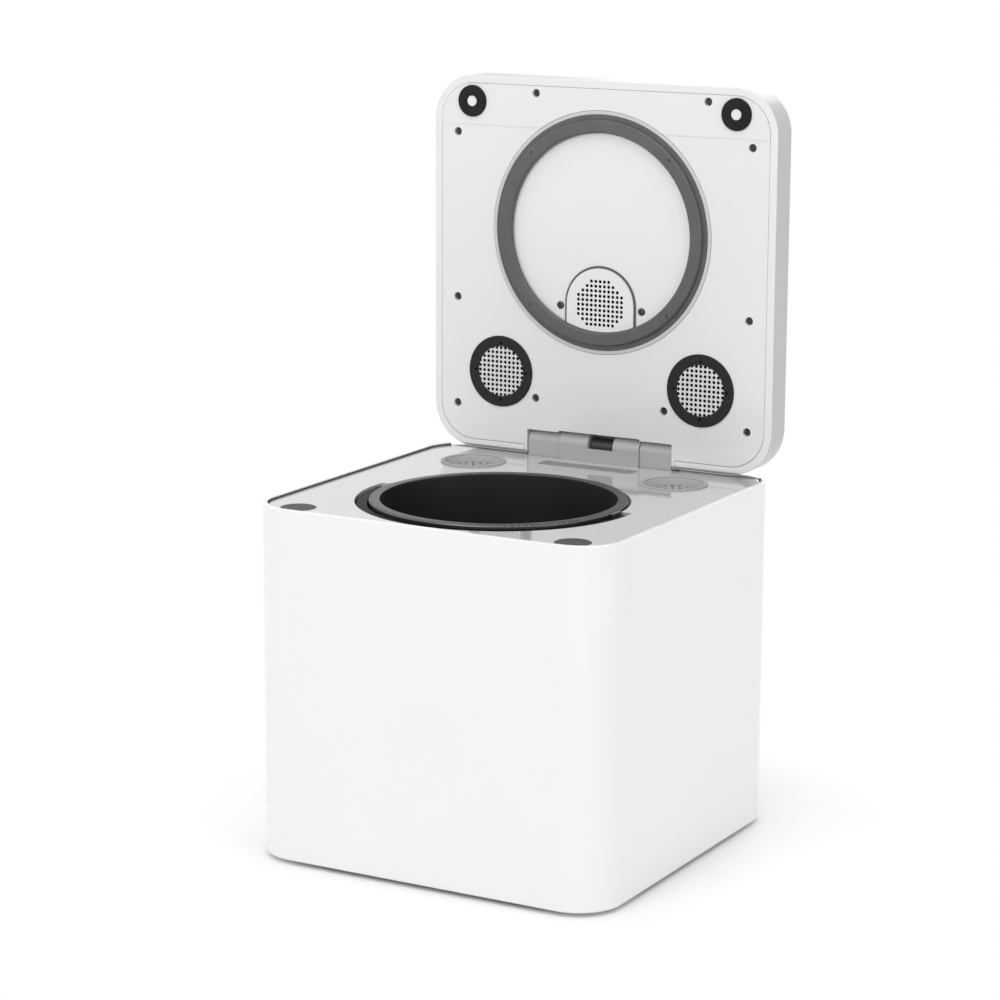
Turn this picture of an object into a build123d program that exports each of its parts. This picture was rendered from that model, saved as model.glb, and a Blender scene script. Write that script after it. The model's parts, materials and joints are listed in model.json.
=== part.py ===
from build123d import *
import math
import os

# Countertop food waste composter with its lid standing open, all sizes in millimetres.
# Origin on the floor under the middle of the body, +Z up, front of the body towards -Y.
os.makedirs("parts", exist_ok=True)

# ================================================================ driving dimensions
# Body
body_width = 270.0
body_depth = 270.0
corner_radius = 32.0
shell_height = 244.0
shell_wall = 3.0
foot_height = 3.0
foot_diameter = 22.0
foot_inset = 35.0
foot_peg_diameter = 8.0
foot_chamfer = 0.8
deck_drop = 1.7
deck_thickness = 2.6
deck_joint = 0.8
deck_shelf_width = 4.0
deck_shelf_thickness = 2.4
base_thickness = 3.0
base_rib_height = 4.0
base_rib_thickness = 1.6
base_rib_pitch = 42.0
base_ribs = 5
base_rib_trim = 4.0
base_edge_fillet = 1.5
rim_edge_fillet = 0.8
intake_setback = 30.0
intake_slots = 9
intake_pitch = 12.0
intake_length = 24.0
intake_width = 4.0

# Screws
screw_column_radius = 5.0
screw_column_bite = 0.8
screw_diameter = 2.8
screw_head_diameter = 5.2
screw_head_height = 1.4
base_screw_reach = 12.0
lid_screw_length = 10.0
screw_tip_gap = 2.0

# Clearances
fit = 0.3
loose_fit = 0.2
pocket_fit = 0.15
snug_fit = 0.1
close_fit = 0.05

# Rear ledge under the opened lid
ledge_depth = 12.5
ledge_drop = 2.3
ledge_cap = 2.2
ledge_skirt = 3.0
ledge_shelf_reach = 10.0
ledge_shelf_margin = 6.0

# Rear panel
rear_opening_side = 40.0
rear_opening_head = 17.5
rear_opening_base = 22.0
rear_opening_corner = 6.0
rear_panel_lip = 6.0
rear_panel_corner = 8.0
rear_panel_thickness = 2.4
rear_panel_sink = 0.4
rear_panel_fillet = 0.6
rear_screw_rows = 3
grille_slots = 16
grille_slot_circle = 17.5
grille_slot_length = 17.0
grille_slot_width = 3.2
grille_hub_radius = 4.0
louvre_rows = 6
louvre_pitch = 9.0
louvre_length = 44.0
inlet_width = 28.0
inlet_height = 20.0
inlet_depth = 24.0
inlet_corner = 3.0
inlet_margin = 27.0
inlet_centre_height = 48.0
inlet_wall = 2.0
inlet_cavity = 14.3
inlet_pins = 3
inlet_pin_pitch = 7.0
inlet_pin_width = 1.5
inlet_pin_height = 4.0
inlet_pin_setback = 3.0
board_width = 70.0
board_height = 80.0
board_thickness = 1.6
board_standoff = 12.0
board_post_radius = 3.0
board_post_inset = 5.0
board_margin = 37.0
board_centre_height = 72.0
board_right_row = 14.0
board_left_row = 20.0
board_row_height = 20.0
transformer_width = 32.0
transformer_height = 28.0
transformer_depth = 18.0
relay_width = 18.0
relay_height = 14.0
heat_sink_width = 20.0
capacitor_radius = 7.0
capacitor_pitch = 20.0
capacitor_depth = 12.0
chip_corner = 1.0

# Lid
lid_thickness = 25.0
lid_skin = 3.0
lid_side_wall = 2.8
lid_rim_width = 5.4
lid_rim_depth = 4.0
lid_gap = 0.5
lid_outer_fillet = 3.5
lid_rim_fillet = 0.6
lid_swing_radius = 3.0
panel_thickness = 2.6
panel_joint = 0.4
strip_width = 35.0
strip_rise = 0.4
lid_boss_radius = 3.8
lid_boss_floor = 2.0
lid_boss_gap = 0.4
boss_socket_rim = 0.6
boss_socket_depth = 2.2
screw_sink_gap = 0.4
edge_screw_inset = 18.8
rear_screw_v = 31.4
middle_screw_v = 109.6
front_screw_inset = 40.8
strip_screw_inset = 10.8
strip_screw_left = 82.6
strip_screw_right = 52.8
filter_screw_side = 28.5
filter_screw_drop = 17.2

# Hinge
hinge_inset = 8.8
hinge_width = 116.6
hinge_middle_width = 64.0
hinge_middle_radius = 8.6
hinge_cap_radius = 7.7
hinge_pocket_middle = 18.2
hinge_pocket_outer = 17.0
hinge_pocket_depth = 18.2
hinge_pocket_wall = 2.0
hinge_air = 0.6
hinge_side_gap = 0.7
hinge_pin_diameter = 5.0
hinge_pin_length = 26.0
hinge_pin_reach = 13.0
hinge_pin_chamfer = 0.4
bracket_barrel_radius = 4.8
bracket_thickness = 2.2
bracket_width = 24.0
bracket_height = 44.0
bracket_foot = 5.0
bracket_corner = 2.0
bracket_barrel_width = 10.0
bracket_web_inset = 1.0
damper_diameter = 11.0
damper_slot_width = 20.0
damper_slot_shift = 1.0
damper_slot_rise = 1.8
damper_chamfer = 0.8

# Bucket
bucket_forward = 28.0
flange_radius = 88.0
mouth_radius = 80.6
flange_thickness = 3.6
bucket_wall = 1.8
bucket_height = 162.8
bucket_taper = 2.4
bucket_floor = 3.0
bucket_corner = 12.0
bucket_rise = 1.5
flange_under_fillet = 0.8
flange_top_fillet = 1.2
bushing_radius = 8.0
bushing_height = 16.0
bushing_flange = 3.0
bushing_flange_thickness = 2.0
seat_gap = 0.2

# Carry handle of the bucket, folded forward into its trough
handle_inner_radius = 88.9
handle_outer_radius = 96.6
handle_thickness = 3.2
handle_rise = 1.4
handle_fillet = 0.8
handle_boss_radius = 5.0
handle_pivot_drop = 7.8
handle_pivot_diameter = 5.0
handle_head_diameter = 7.0
handle_head_thickness = 1.8
ear_thickness = 3.2
ear_width = 12.0
ear_drop = 5.0
ear_sink = 0.6
ear_gap = 0.5
ear_swing_gap = 5.0

# Well round the bucket
neck_wall = 2.5
neck_clearance = 1.6
opening_clearance = 1.5
trough_radius = 97.6
trough_depth = 13.3
trough_wall = 2.0
trough_back = 8.0
collar_flange = 6.0
liner_wall = 1.2
liner_height = 152.0
liner_flange = 10.0
liner_hole_radius = 16.0
liner_corner = 3.0
heater_thickness = 1.2
heater_height = 30.0
insulation_thickness = 5.0
insulation_height = 132.0

# Agitator and fixed breakers in the bucket
agitator_shaft_diameter = 8.0
agitator_hub_radius = 11.0
agitator_column_radius = 8.0
agitator_height = 76.0
agitator_hub_height = 12.0
agitator_top_fillet = 4.0
agitator_skirt_wall = 5.0
agitator_skirt_overlap = 4.0
bushing_side_gap = 0.6
bushing_top_gap = 1.0
arm_length = 73.0
arm_shortening = 3.0
arm_turn = 60.0
arm_width = 13.0
arm_bow = 0.55
arm_hollow = 1.0
arm_tip_width = 3.0
arm_tip_slope = 4.0
arm_root = 2.0
arm_thickness = 8.0
arm_base_gap = 4.0
breaker_thickness = 7.0
breaker_width = 11.0
breaker_reach = 56.0
breaker_corner = 3.0
breaker_bearing = 25.0
arm_spacing = 30.0
coupling_radius = 13.0
coupling_height = 12.0
coupling_floor = 3.0
coupling_gap = 0.4
star_radius = 8.6
star_lobe_radius = 2.4
star_lobes = 6
star_clearance = 0.5
star_chamfer = 0.6
star_foot_gap = 1.0
star_reach = 1.0

# Seal and vent on the lid
seal_outer_radius = 83.6
seal_inner_radius = 70.8
seal_plug_radius = 79.9
seal_plug_height = 3.2
seal_lip_height = 0.4
seal_lip_fillet = 0.3
seal_plug_fillet = 1.2
seal_dimples = 4
seal_dimple_diameter = 2.4
seal_dimple_depth = 0.8
carrier_radius = 86.2
carrier_seat = 84.0
carrier_flange = 1.3
carrier_proud = 0.3
carrier_depth = 3.6
carrier_floor = 0.7
carrier_lip = 0.8
disc_thickness = 1.6
disc_lip = 2.2
disc_gap = 0.4
vent_radius = 26.5
vent_drop = 51.5
vent_cover_thickness = 1.4
vent_seal_width = 1.6
vent_seal_height = 0.6
vent_ledge = 5.0
vent_foot_ledge = 6.0
vent_screw_side = 32.3
vent_screw_drop = 2.2
vent_screw_sink = 1.0
vent_recess_depth = 2.0
hole_pitch = 3.43
hole_width = 1.9
vent_hole_rings = 5

# Filters and ports
port_side_inset = 55.0
port_rear = 57.5
bezel_radius = 25.9
bezel_height = 0.65
mesh_radius = 18.4
mesh_thickness = 1.2
filter_neck_radius = 23.6
filter_neck_wall = 1.7
filter_neck_depth = 3.0
cartridge_radius = 22.6
cartridge_height = 12.0
cartridge_chamfer = 1.0
filter_cup_wall = 1.6
filter_cup_gap = 0.4
filter_cup_floor_gap = 1.2
filter_cup_lip = 7.0
filter_hole_rings = 5
filter_hole_reach = 32
mesh_proud = 0.2
port_radius = 20.8
port_socket_wall = 2.2
port_socket_depth = 4.7
port_grille_thickness = 1.6
port_lip = 1.8
port_slot_circle = 15.4
port_slots = 18
port_slot_length = 6.0
port_slot_width = 2.0
port_inner_circle = 7.7
port_inner_slots = 9
port_inner_length = 5.4
port_seal_radius = 23.6
port_seal_height = 1.1
port_seal_fillet = 0.4
duct_wall = 1.6
collector_wall = 1.6
collector_height = 62.0
collector_reach = 9.5
collector_margin = 1.8
collector_lip = 1.0

# Magnets and their strike pads
magnet_side_inset = 31.0
magnet_front = 18.5
magnet_ring_radius = 11.2
magnet_ring_height = 1.9
magnet_ring_seat = 1.0
magnet_core_radius = 3.9
magnet_core_height = 1.4
magnet_ring_fillet = 0.5
strike_pad_radius = 12.0
strike_pad_thickness = 1.4

# Cover plate let into the deck in front of the hinge
cable_cover_width = 75.0
cable_cover_depth = 16.6
cable_cover_gap = 7.4
cable_cover_recess = 1.6
cable_cover_thickness = 0.8
cable_cover_corner = 0.8

# Button on the outside of the lid
button_radius = 9.0
button_proud = 0.8
button_fillet = 0.6
button_from_front = 50.0
light_ring_inner = 10.6
light_ring_outer = 12.8
light_ring_depth = 1.2
panel_board_width = 60.0
panel_board_height = 36.0
panel_board_corner = 2.0
panel_post_inset = 4.0
panel_post_radius = 2.5
panel_post_height = 1.6
panel_chip_spread = 18.0
panel_chip_width = 10.0
panel_chip_height = 12.0
panel_chip_thickness = 2.5

# Drive under the well
wheel_face = 8.0
idler_face = 5.5
output_module = 1.5
motor_module = 1.25
pinion_teeth = 12
wheel_teeth = 48
tooth_thinning = 0.12
pressure_angle = 25.0
output_shaft_diameter = 10.0
idler_axle_diameter = 5.0
motor_shaft_diameter = 4.0
wheel_hub_radius = 9.0
wheel_rim = 5.0
wheel_recess = 2.5
wheel_holes = 6
wheel_hole_circle = 20.0
wheel_hole_radius = 5.0
idler_rim = 4.0
idler_recess = 1.5
idler_hub_radius = 10.0
bearing_radius = 11.0
bearing_width = 6.0
bearing_shoulder = 2.0
bearing_end_gap = 0.5
gearbox_wall = 2.5
gearbox_air = 1.0
gearbox_fillet = 1.0
shaft_air = 1.0
blind_floor = 1.0
gearbox_height = 22.0
gearbox_floor_height = 38.0
gearbox_lug_radius = 6.5
gearbox_leg_inset = 1.0
motor_radius = 24.0
motor_fillet = 3.0
motor_shaft_grip = 10.0
motor_shaft_end = 1.0
idler_bearing = 50.0
motor_bearing = 80.0
tier_gap = 1.5

# Fan on the back of the collector
fan_size = 60.0
fan_depth = 25.0
fan_corner = 4.0
fan_hole_inset = 5.0
fan_hole_radius = 2.2
fan_bore_radius = 28.5
fan_hub_radius = 11.0
fan_hub_depth = 16.0
fan_hub_fillet = 2.0
fan_struts = 3
fan_strut_bearing = 30.0
fan_strut_depth = 3.0
fan_strut_width = 4.0
fan_strut_root = 2.0
fan_pin_radius = 2.0
fan_pin_length = 8.0
fan_end_gap = 1.0
fan_blades = 7
fan_blade_chord = 17.0
fan_blade_thickness = 1.2
fan_blade_root = 1.5
fan_root_pitch = 50.0
fan_tip_pitch = 28.0
fan_tip_gap = 0.9
fan_height = 170.0

# ================================================================ derived places
shell_bottom = foot_height
rim_z = shell_bottom + shell_height
deck_z = rim_z - deck_drop
deck_under_z = deck_z - deck_thickness
inner_width = body_width - 2 * shell_wall
inner_depth = body_depth - 2 * shell_wall
inner_radius = corner_radius - shell_wall
back_y = body_depth / 2
ledge_y = back_y - ledge_depth
ledge_z = rim_z - ledge_drop
ledge_seat_z = ledge_z - ledge_cap
ledge_skirt_z = ledge_seat_z - ledge_skirt
base_top = shell_bottom + base_thickness
column_step = (inner_radius - screw_column_radius + screw_column_bite) / math.sqrt(2)
column_x = body_width / 2 - corner_radius + column_step
column_y = body_depth / 2 - corner_radius + column_step
foot_x = body_width / 2 - foot_inset
foot_y = body_depth / 2 - foot_inset

rear_opening_width = body_width - 2 * rear_opening_side
rear_opening_height = ledge_skirt_z - rear_opening_head - rear_opening_base
rear_mid_z = rear_opening_base + rear_opening_height / 2
panel_inner_y = back_y - shell_wall - rear_panel_thickness
inlet_side = rear_opening_width / 2 - inlet_margin
board_side = rear_opening_width / 2 - board_margin
board_y = panel_inner_y - board_standoff

hinge_y = back_y - hinge_inset
hinge_z = rim_z + lid_gap + hinge_inset
lid_face_y = hinge_y - hinge_inset
lid_bottom_z = hinge_z - hinge_inset
hinge_half = hinge_width / 2
hinge_body_half = hinge_half - hinge_air

bucket_y = -bucket_forward
bucket_top_z = deck_z + bucket_rise
bucket_seat_z = bucket_top_z - flange_thickness
bucket_bottom_z = bucket_top_z - bucket_height
bucket_outer_radius = mouth_radius + bucket_wall
neck_inner = bucket_outer_radius + neck_clearance
neck_outer = neck_inner + neck_wall
neck_top_z = bucket_seat_z - seat_gap
trough_floor_z = deck_z - trough_depth
collar_bottom_z = trough_floor_z - trough_wall
collar_outer = trough_radius + collar_flange
opening_radius = flange_radius + opening_clearance
handle_z = bucket_top_z - handle_pivot_drop
liner_bottom_z = collar_bottom_z - liner_height
liner_outer = neck_inner + liner_wall
heater_outer = liner_outer + heater_thickness + fit
insulation_inner = heater_outer + fit

seal_v = back_y - bucket_y
vent_v = seal_v - vent_drop
magnet_v = body_depth - magnet_front
strip_v = body_depth - strip_width
panel_inset = lid_rim_width + panel_joint
port_spread = body_width / 2 - port_side_inset
port_y = back_y - port_rear
magnet_spread = body_width / 2 - magnet_side_inset
magnet_y = magnet_front - body_depth / 2
cover_y = lid_face_y - cable_cover_gap - cable_cover_depth / 2
disc_base = carrier_lip - carrier_depth
disc_face = disc_base + disc_thickness
disc_radius = seal_inner_radius - disc_gap

gear_floor_z = gearbox_floor_height + gearbox_wall
output_wheel_z = gear_floor_z + tier_gap
idler_wheel_z = output_wheel_z + wheel_face + tier_gap
gear_cover_z = gearbox_floor_height + gearbox_height
output_pitch = output_module * wheel_teeth / 2
idler_pitch = motor_module * wheel_teeth / 2
idler_distance = output_module * (wheel_teeth + pinion_teeth) / 2
motor_distance = motor_module * (wheel_teeth + pinion_teeth) / 2
idler_x = idler_distance * math.cos(math.radians(idler_bearing))
idler_y = bucket_y + idler_distance * math.sin(math.radians(idler_bearing))
motor_x = idler_x + motor_distance * math.cos(math.radians(motor_bearing))
motor_y = idler_y + motor_distance * math.sin(math.radians(motor_bearing))
motor_base_z = base_top + base_rib_height + seat_gap
collector_back = panel_inner_y - fan_depth - 2 * fit
collector_front = port_y - collector_reach
fan_y = collector_back + fit

# The opened lid's inner face: local x to the right, local y up, normal towards the front.
LID = Plane(origin=(0, lid_face_y, lid_bottom_z), x_dir=(1, 0, 0), z_dir=(0, -1, 0))
LID_SECTION = Plane(origin=(0, lid_face_y, lid_bottom_z + seal_v), x_dir=(1, 0, 0), z_dir=(0, 0, 1))
SEAL_AXIS = Axis((0, lid_face_y, lid_bottom_z + seal_v), (0, 1, 0))
WELL_SECTION = Plane(origin=(0, bucket_y, 0), x_dir=(1, 0, 0), z_dir=(0, -1, 0))
WELL_AXIS = Axis((0, bucket_y, 0), (0, 0, 1))
REAR = Plane(origin=(0, back_y, 0), x_dir=(-1, 0, 0), z_dir=(0, 1, 0))

edge_screw_x = body_width / 2 - edge_screw_inset
front_screw_v = body_depth - front_screw_inset
strip_screw_v = body_depth - strip_screw_inset
filter_screw_x = port_spread - filter_screw_side
filter_screw_v = port_rear - filter_screw_drop
lid_screw_spots = [(side * edge_screw_x, rear_screw_v) for side in (-1, 1)]
lid_screw_spots += [(side * edge_screw_x, middle_screw_v) for side in (-1, 1)]
lid_screw_spots += [(side * edge_screw_x, front_screw_v) for side in (-1, 1)]
lid_screw_spots += [(side * filter_screw_x, filter_screw_v) for side in (-1, 1)]
lid_screw_spots += [(strip_screw_left - body_width / 2, strip_screw_v)]
lid_screw_spots += [(body_width / 2 - strip_screw_right, strip_screw_v)]
vent_screw_spots = [(side * vent_screw_side, vent_v - vent_screw_drop) for side in (-1, 1)]
gearbox_leg_spots = [
    (idler_x + 38.5, idler_y - 6),
    (-40.5, bucket_y + 19),
    (-33, bucket_y - 31),
    (31, bucket_y - 33),
]


def well_plane(height):
    """Horizontal plane on the bucket's axis at a height above the floor."""
    return Plane(origin=(0, bucket_y, height))


def write(piece, label):
    """Label a finished piece and write it to its own STEP file."""
    piece.part.label = label
    export_step(piece.part, f"parts/{label}.step")
    print(f"{label:20s} solids {len(piece.part.solids())} volume {piece.part.volume:.0f}")


def filter_holes():
    """Hole centres of a filter's pierced plate: a square lattice in a circle."""
    span = range(-filter_hole_rings, filter_hole_rings + 1)
    spots = [(i, j) for i in span for j in span if i * i + j * j <= filter_hole_reach]
    return [(i * hole_pitch, j * hole_pitch) for i, j in spots]


def vent_holes():
    """Hole centres of the vent: a square lattice with cut corners and without its lowest row."""
    span = range(-vent_hole_rings, vent_hole_rings + 1)
    spots = [(i, j) for i in span for j in span if abs(i) + abs(j) <= vent_hole_rings + 2]
    return [(i * hole_pitch, j * hole_pitch) for i, j in spots if j > -vent_hole_rings]


def tooth_outline(module, teeth):
    """Corner points of one involute tooth on the +X side of its wheel, from root to tip and back."""
    pitch = module * teeth / 2
    slope = math.radians(pressure_angle)
    base = pitch * math.cos(slope)
    root = pitch - 1.25 * module
    tip = pitch + module
    involute = math.tan(slope) - slope
    half = math.pi / (2 * teeth) - tooth_thinning / pitch
    upper = []
    for radius in (root - 0.2 * module, max(root, base), pitch, tip):
        turn = math.acos(min(1.0, base / max(radius, base)))
        angle = half + involute - (math.tan(turn) - turn)
        upper.append((radius * math.cos(angle), radius * math.sin(angle)))
    lower = [(x, -y) for x, y in reversed(upper)]
    return upper + lower


def gear_sketch(module, teeth, start_angle):
    """Private sketch of a spur wheel whose first tooth points along start_angle, in degrees."""
    with BuildSketch(mode=Mode.PRIVATE) as tooth:
        with BuildLine():
            Polyline(*tooth_outline(module, teeth), close=True)
        make_face()
    with BuildSketch(mode=Mode.PRIVATE) as wheel:
        Circle(module * teeth / 2 - 1.25 * module)
        with PolarLocations(0, teeth, start_angle=start_angle):
            add(tooth.sketch)
    return wheel.sketch


def trough_sketch(radius, back):
    """Private sketch of the handle trough's outline: a disc cut straight behind the handle's pivots."""
    with BuildSketch(mode=Mode.PRIVATE) as outline:
        Circle(radius)
        with Locations((0, back + radius)):
            Rectangle(3 * radius, 2 * radius, mode=Mode.SUBTRACT)
    return outline.sketch


def corner_circles(radius):
    """Private sketch of one circle over each of the shell's four screw columns."""
    with BuildSketch(mode=Mode.PRIVATE) as pattern:
        with GridLocations(2 * column_x, 2 * column_y, 2, 2):
            Circle(radius)
    return pattern.sketch


def rear_screw_circles(radius):
    """Private sketch of one circle for each screw of the rear panel, seen from behind."""
    pitch_x = rear_opening_width + rear_panel_lip
    with BuildSketch(mode=Mode.PRIVATE) as pattern:
        with Locations((0, rear_mid_z)):
            with GridLocations(pitch_x, rear_opening_height / rear_screw_rows, 2, rear_screw_rows):
                Circle(radius)
    return pattern.sketch


# ================================================================ body: shell, base, feet
with BuildPart() as outer_shell:
    with BuildSketch(Plane.XY.offset(shell_bottom)):
        RectangleRounded(body_width, body_depth, corner_radius)
    extrude(amount=shell_height)
    fillet(outer_shell.edges().group_by(Axis.Z)[0], base_edge_fillet)
    fillet(outer_shell.edges().group_by(Axis.Z)[-1], rim_edge_fillet)
    with BuildSketch(Plane.XY.offset(shell_bottom)):
        RectangleRounded(inner_width, inner_depth, inner_radius)
    extrude(amount=shell_height, mode=Mode.SUBTRACT)
    with BuildSketch(Plane.XY.offset(deck_under_z - deck_shelf_thickness)):
        RectangleRounded(inner_width, inner_depth, inner_radius)
        RectangleRounded(
            inner_width - 2 * deck_shelf_width,
            inner_depth - 2 * deck_shelf_width,
            inner_radius - deck_shelf_width,
            mode=Mode.SUBTRACT,
        )
    extrude(amount=deck_shelf_thickness)
    with BuildSketch(Plane.XY.offset(base_top)):
        add(corner_circles(screw_column_radius))
    extrude(amount=ledge_skirt_z - fit - base_top)
    with BuildSketch(Plane.XY.offset(base_top)):
        add(corner_circles(screw_diameter / 2 + close_fit))
    extrude(amount=base_screw_reach + screw_tip_gap, mode=Mode.SUBTRACT)
    # Room for the rear ledge's skirt, inside the walls
    with BuildSketch(Plane.XY.offset(ledge_skirt_z)):
        RectangleRounded(inner_width, inner_depth, inner_radius)
        with Locations((0, ledge_y - fit - body_depth / 2)):
            Rectangle(body_width, body_depth, mode=Mode.SUBTRACT)
    extrude(amount=ledge_skirt + ledge_cap, mode=Mode.SUBTRACT)
    # Step that lets the lid's rear edge swing down
    with BuildSketch(Plane.XY.offset(ledge_seat_z)):
        with Locations((0, ledge_y + body_depth / 2)):
            Rectangle(2 * body_width, body_depth)
    extrude(amount=2 * ledge_drop, mode=Mode.SUBTRACT)
    # Opening for the rear panel, with its countersunk screw holes
    with BuildSketch(REAR.offset(-shell_wall)):
        with Locations((0, rear_mid_z)):
            RectangleRounded(rear_opening_width, rear_opening_height, rear_opening_corner)
        add(rear_screw_circles(screw_diameter / 2))
    extrude(amount=shell_wall, mode=Mode.SUBTRACT)
    with BuildSketch(REAR.offset(-screw_head_height - snug_fit)):
        add(rear_screw_circles(screw_head_diameter / 2 + snug_fit))
    extrude(amount=shell_wall, mode=Mode.SUBTRACT)
write(outer_shell, "outer_shell")

rib_width = inner_width - 2 * inner_radius - 2 * base_rib_trim
rib_depth = inner_depth - 2 * inner_radius - 2 * base_rib_trim
with BuildPart() as base_pan:
    with BuildSketch(Plane.XY.offset(shell_bottom)):
        RectangleRounded(inner_width - 2 * fit, inner_depth - 2 * fit, inner_radius - fit)
    extrude(amount=base_thickness)
    # Upstanding edges and a grid of stiffening ribs
    with BuildSketch(Plane.XY.offset(base_top)):
        with GridLocations(inner_width - 2 * fit - base_rib_thickness, 0, 2, 1):
            Rectangle(base_rib_thickness, rib_depth)
        with GridLocations(0, inner_depth - 2 * fit - base_rib_thickness, 1, 2):
            Rectangle(rib_width, base_rib_thickness)
        with GridLocations(base_rib_pitch, 0, base_ribs, 1):
            Rectangle(base_rib_thickness, rib_depth)
        with GridLocations(0, base_rib_pitch, 1, base_ribs):
            Rectangle(rib_width, base_rib_thickness)
    extrude(amount=base_rib_height)
    # Legs that carry the gearbox
    with BuildSketch(Plane.XY.offset(base_top)):
        with Locations(*gearbox_leg_spots):
            Circle(gearbox_lug_radius - gearbox_leg_inset)
    extrude(amount=gearbox_floor_height - base_top)
    # Foot holes, screw holes and the air intake
    with BuildSketch(Plane.XY.offset(shell_bottom)):
        with GridLocations(2 * foot_x, 2 * foot_y, 2, 2):
            Circle(foot_peg_diameter / 2 + close_fit)
        add(corner_circles(screw_diameter / 2 + close_fit))
        with Locations((0, intake_setback - inner_depth / 2)):
            with GridLocations(intake_pitch, 0, intake_slots, 1):
                SlotOverall(intake_length, intake_width, rotation=90)
    extrude(amount=base_thickness + base_rib_height, mode=Mode.SUBTRACT)
    with BuildSketch(Plane.XY.offset(shell_bottom)):
        add(corner_circles(screw_head_diameter / 2 + snug_fit))
    extrude(amount=screw_head_height + snug_fit, mode=Mode.SUBTRACT)
write(base_pan, "base_pan")

with BuildPart() as feet:
    with BuildSketch(Plane.XY):
        with GridLocations(2 * foot_x, 2 * foot_y, 2, 2):
            Circle(foot_diameter / 2)
    extrude(amount=foot_height)
    with BuildSketch(Plane.XY.offset(foot_height)):
        with GridLocations(2 * foot_x, 2 * foot_y, 2, 2):
            Circle(foot_peg_diameter / 2)
    extrude(amount=base_thickness)
    chamfer(feet.edges().group_by(Axis.Z)[0], foot_chamfer)
write(feet, "feet")

with BuildPart() as base_screws:
    with BuildSketch(Plane.XY.offset(shell_bottom + snug_fit)):
        add(corner_circles(screw_head_diameter / 2))
    extrude(amount=screw_head_height)
    with BuildSketch(Plane.XY.offset(shell_bottom + snug_fit)):
        add(corner_circles(screw_diameter / 2))
    extrude(amount=base_thickness + base_screw_reach)
write(base_screws, "base_screws")

# ================================================================ body: rear panel and inlet
with BuildPart() as rear_panel:
    with BuildSketch(REAR.offset(-shell_wall)):
        with Locations((0, rear_mid_z)):
            RectangleRounded(
                rear_opening_width - 2 * fit, rear_opening_height - 2 * fit, rear_opening_corner - fit
            )
    extrude(amount=shell_wall - rear_panel_sink)
    fillet(rear_panel.edges().group_by(Axis.Y)[-1], rear_panel_fillet)
    with BuildSketch(REAR.offset(-shell_wall)):
        with Locations((0, rear_mid_z)):
            RectangleRounded(
                rear_opening_width + 2 * rear_panel_lip,
                rear_opening_height + 2 * rear_panel_lip,
                rear_panel_corner,
            )
    extrude(amount=-rear_panel_thickness)
    # Posts for the power board
    with BuildSketch(REAR.offset(-shell_wall - rear_panel_thickness)):
        with Locations((board_side, board_centre_height)):
            with GridLocations(
                board_width - 2 * board_post_inset, board_height - 2 * board_post_inset, 2, 2
            ):
                Circle(board_post_radius)
    extrude(amount=-board_standoff)
    # Exhaust grille over the fan, intake louvres, inlet and screw holes
    with BuildSketch(REAR.offset(-shell_wall - rear_panel_thickness)):
        with Locations((0, fan_height)):
            with PolarLocations(grille_slot_circle, grille_slots):
                SlotOverall(grille_slot_length, grille_slot_width)
            Circle(grille_hub_radius)
        with Locations((-inlet_side, inlet_centre_height)):
            RectangleRounded(
                inlet_width + 2 * close_fit, inlet_height + 2 * close_fit, inlet_corner + close_fit
            )
        with Locations((board_side, board_centre_height)):
            with GridLocations(0, louvre_pitch, 1, louvre_rows):
                SlotOverall(louvre_length, grille_slot_width)
        add(rear_screw_circles(screw_diameter / 2 - loose_fit))
    extrude(amount=rear_panel_thickness + shell_wall, mode=Mode.SUBTRACT)
write(rear_panel, "rear_panel")

with BuildPart() as rear_screws:
    with BuildSketch(REAR.offset(-screw_head_height)):
        add(rear_screw_circles(screw_head_diameter / 2))
    extrude(amount=screw_head_height)
    with BuildSketch(REAR.offset(-shell_wall - rear_panel_thickness)):
        add(rear_screw_circles(screw_diameter / 2 - loose_fit - close_fit))
    extrude(amount=shell_wall + rear_panel_thickness - screw_head_height)
write(rear_screws, "rear_screws")

with BuildPart() as power_inlet:
    with BuildSketch(REAR):
        with Locations((-inlet_side, inlet_centre_height)):
            RectangleRounded(inlet_width, inlet_height, inlet_corner)
    extrude(amount=-inlet_depth)
    with BuildSketch(REAR):
        with Locations((-inlet_side, inlet_centre_height)):
            RectangleRounded(inlet_width - 2 * inlet_wall, inlet_height - 2 * inlet_wall, inlet_corner)
    extrude(amount=-inlet_cavity, mode=Mode.SUBTRACT)
    with BuildSketch(REAR.offset(-inlet_pin_setback)):
        with Locations((-inlet_side, inlet_centre_height)):
            with GridLocations(inlet_pin_pitch, 0, inlet_pins, 1):
                Rectangle(inlet_pin_width, inlet_pin_height)
    extrude(amount=inlet_pin_setback - inlet_depth)
write(power_inlet, "power_inlet")

with BuildPart() as main_board:
    with BuildSketch(REAR.offset(board_y - back_y)):
        with Locations((board_side, board_centre_height)):
            Rectangle(board_width, board_height)
    extrude(amount=-board_thickness)
    # Transformer and relay, then the lower capacitors and heat sink
    with BuildSketch(REAR.offset(board_y - back_y - board_thickness)):
        with Locations((board_side + board_right_row, board_centre_height - board_row_height)):
            RectangleRounded(transformer_width, transformer_height, chip_corner)
        with Locations((board_side - board_left_row, board_centre_height + board_row_height)):
            RectangleRounded(relay_width, relay_height, chip_corner)
    extrude(amount=-transformer_depth)
    with BuildSketch(REAR.offset(board_y - back_y - board_thickness)):
        with Locations((board_side - board_left_row, board_centre_height - board_row_height)):
            with GridLocations(0, capacitor_pitch, 1, 2):
                Circle(capacitor_radius)
        with Locations((board_side + board_right_row, board_centre_height + board_row_height)):
            RectangleRounded(heat_sink_width, heat_sink_width, chip_corner)
    extrude(amount=-capacitor_depth)
write(main_board, "main_board")

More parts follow.
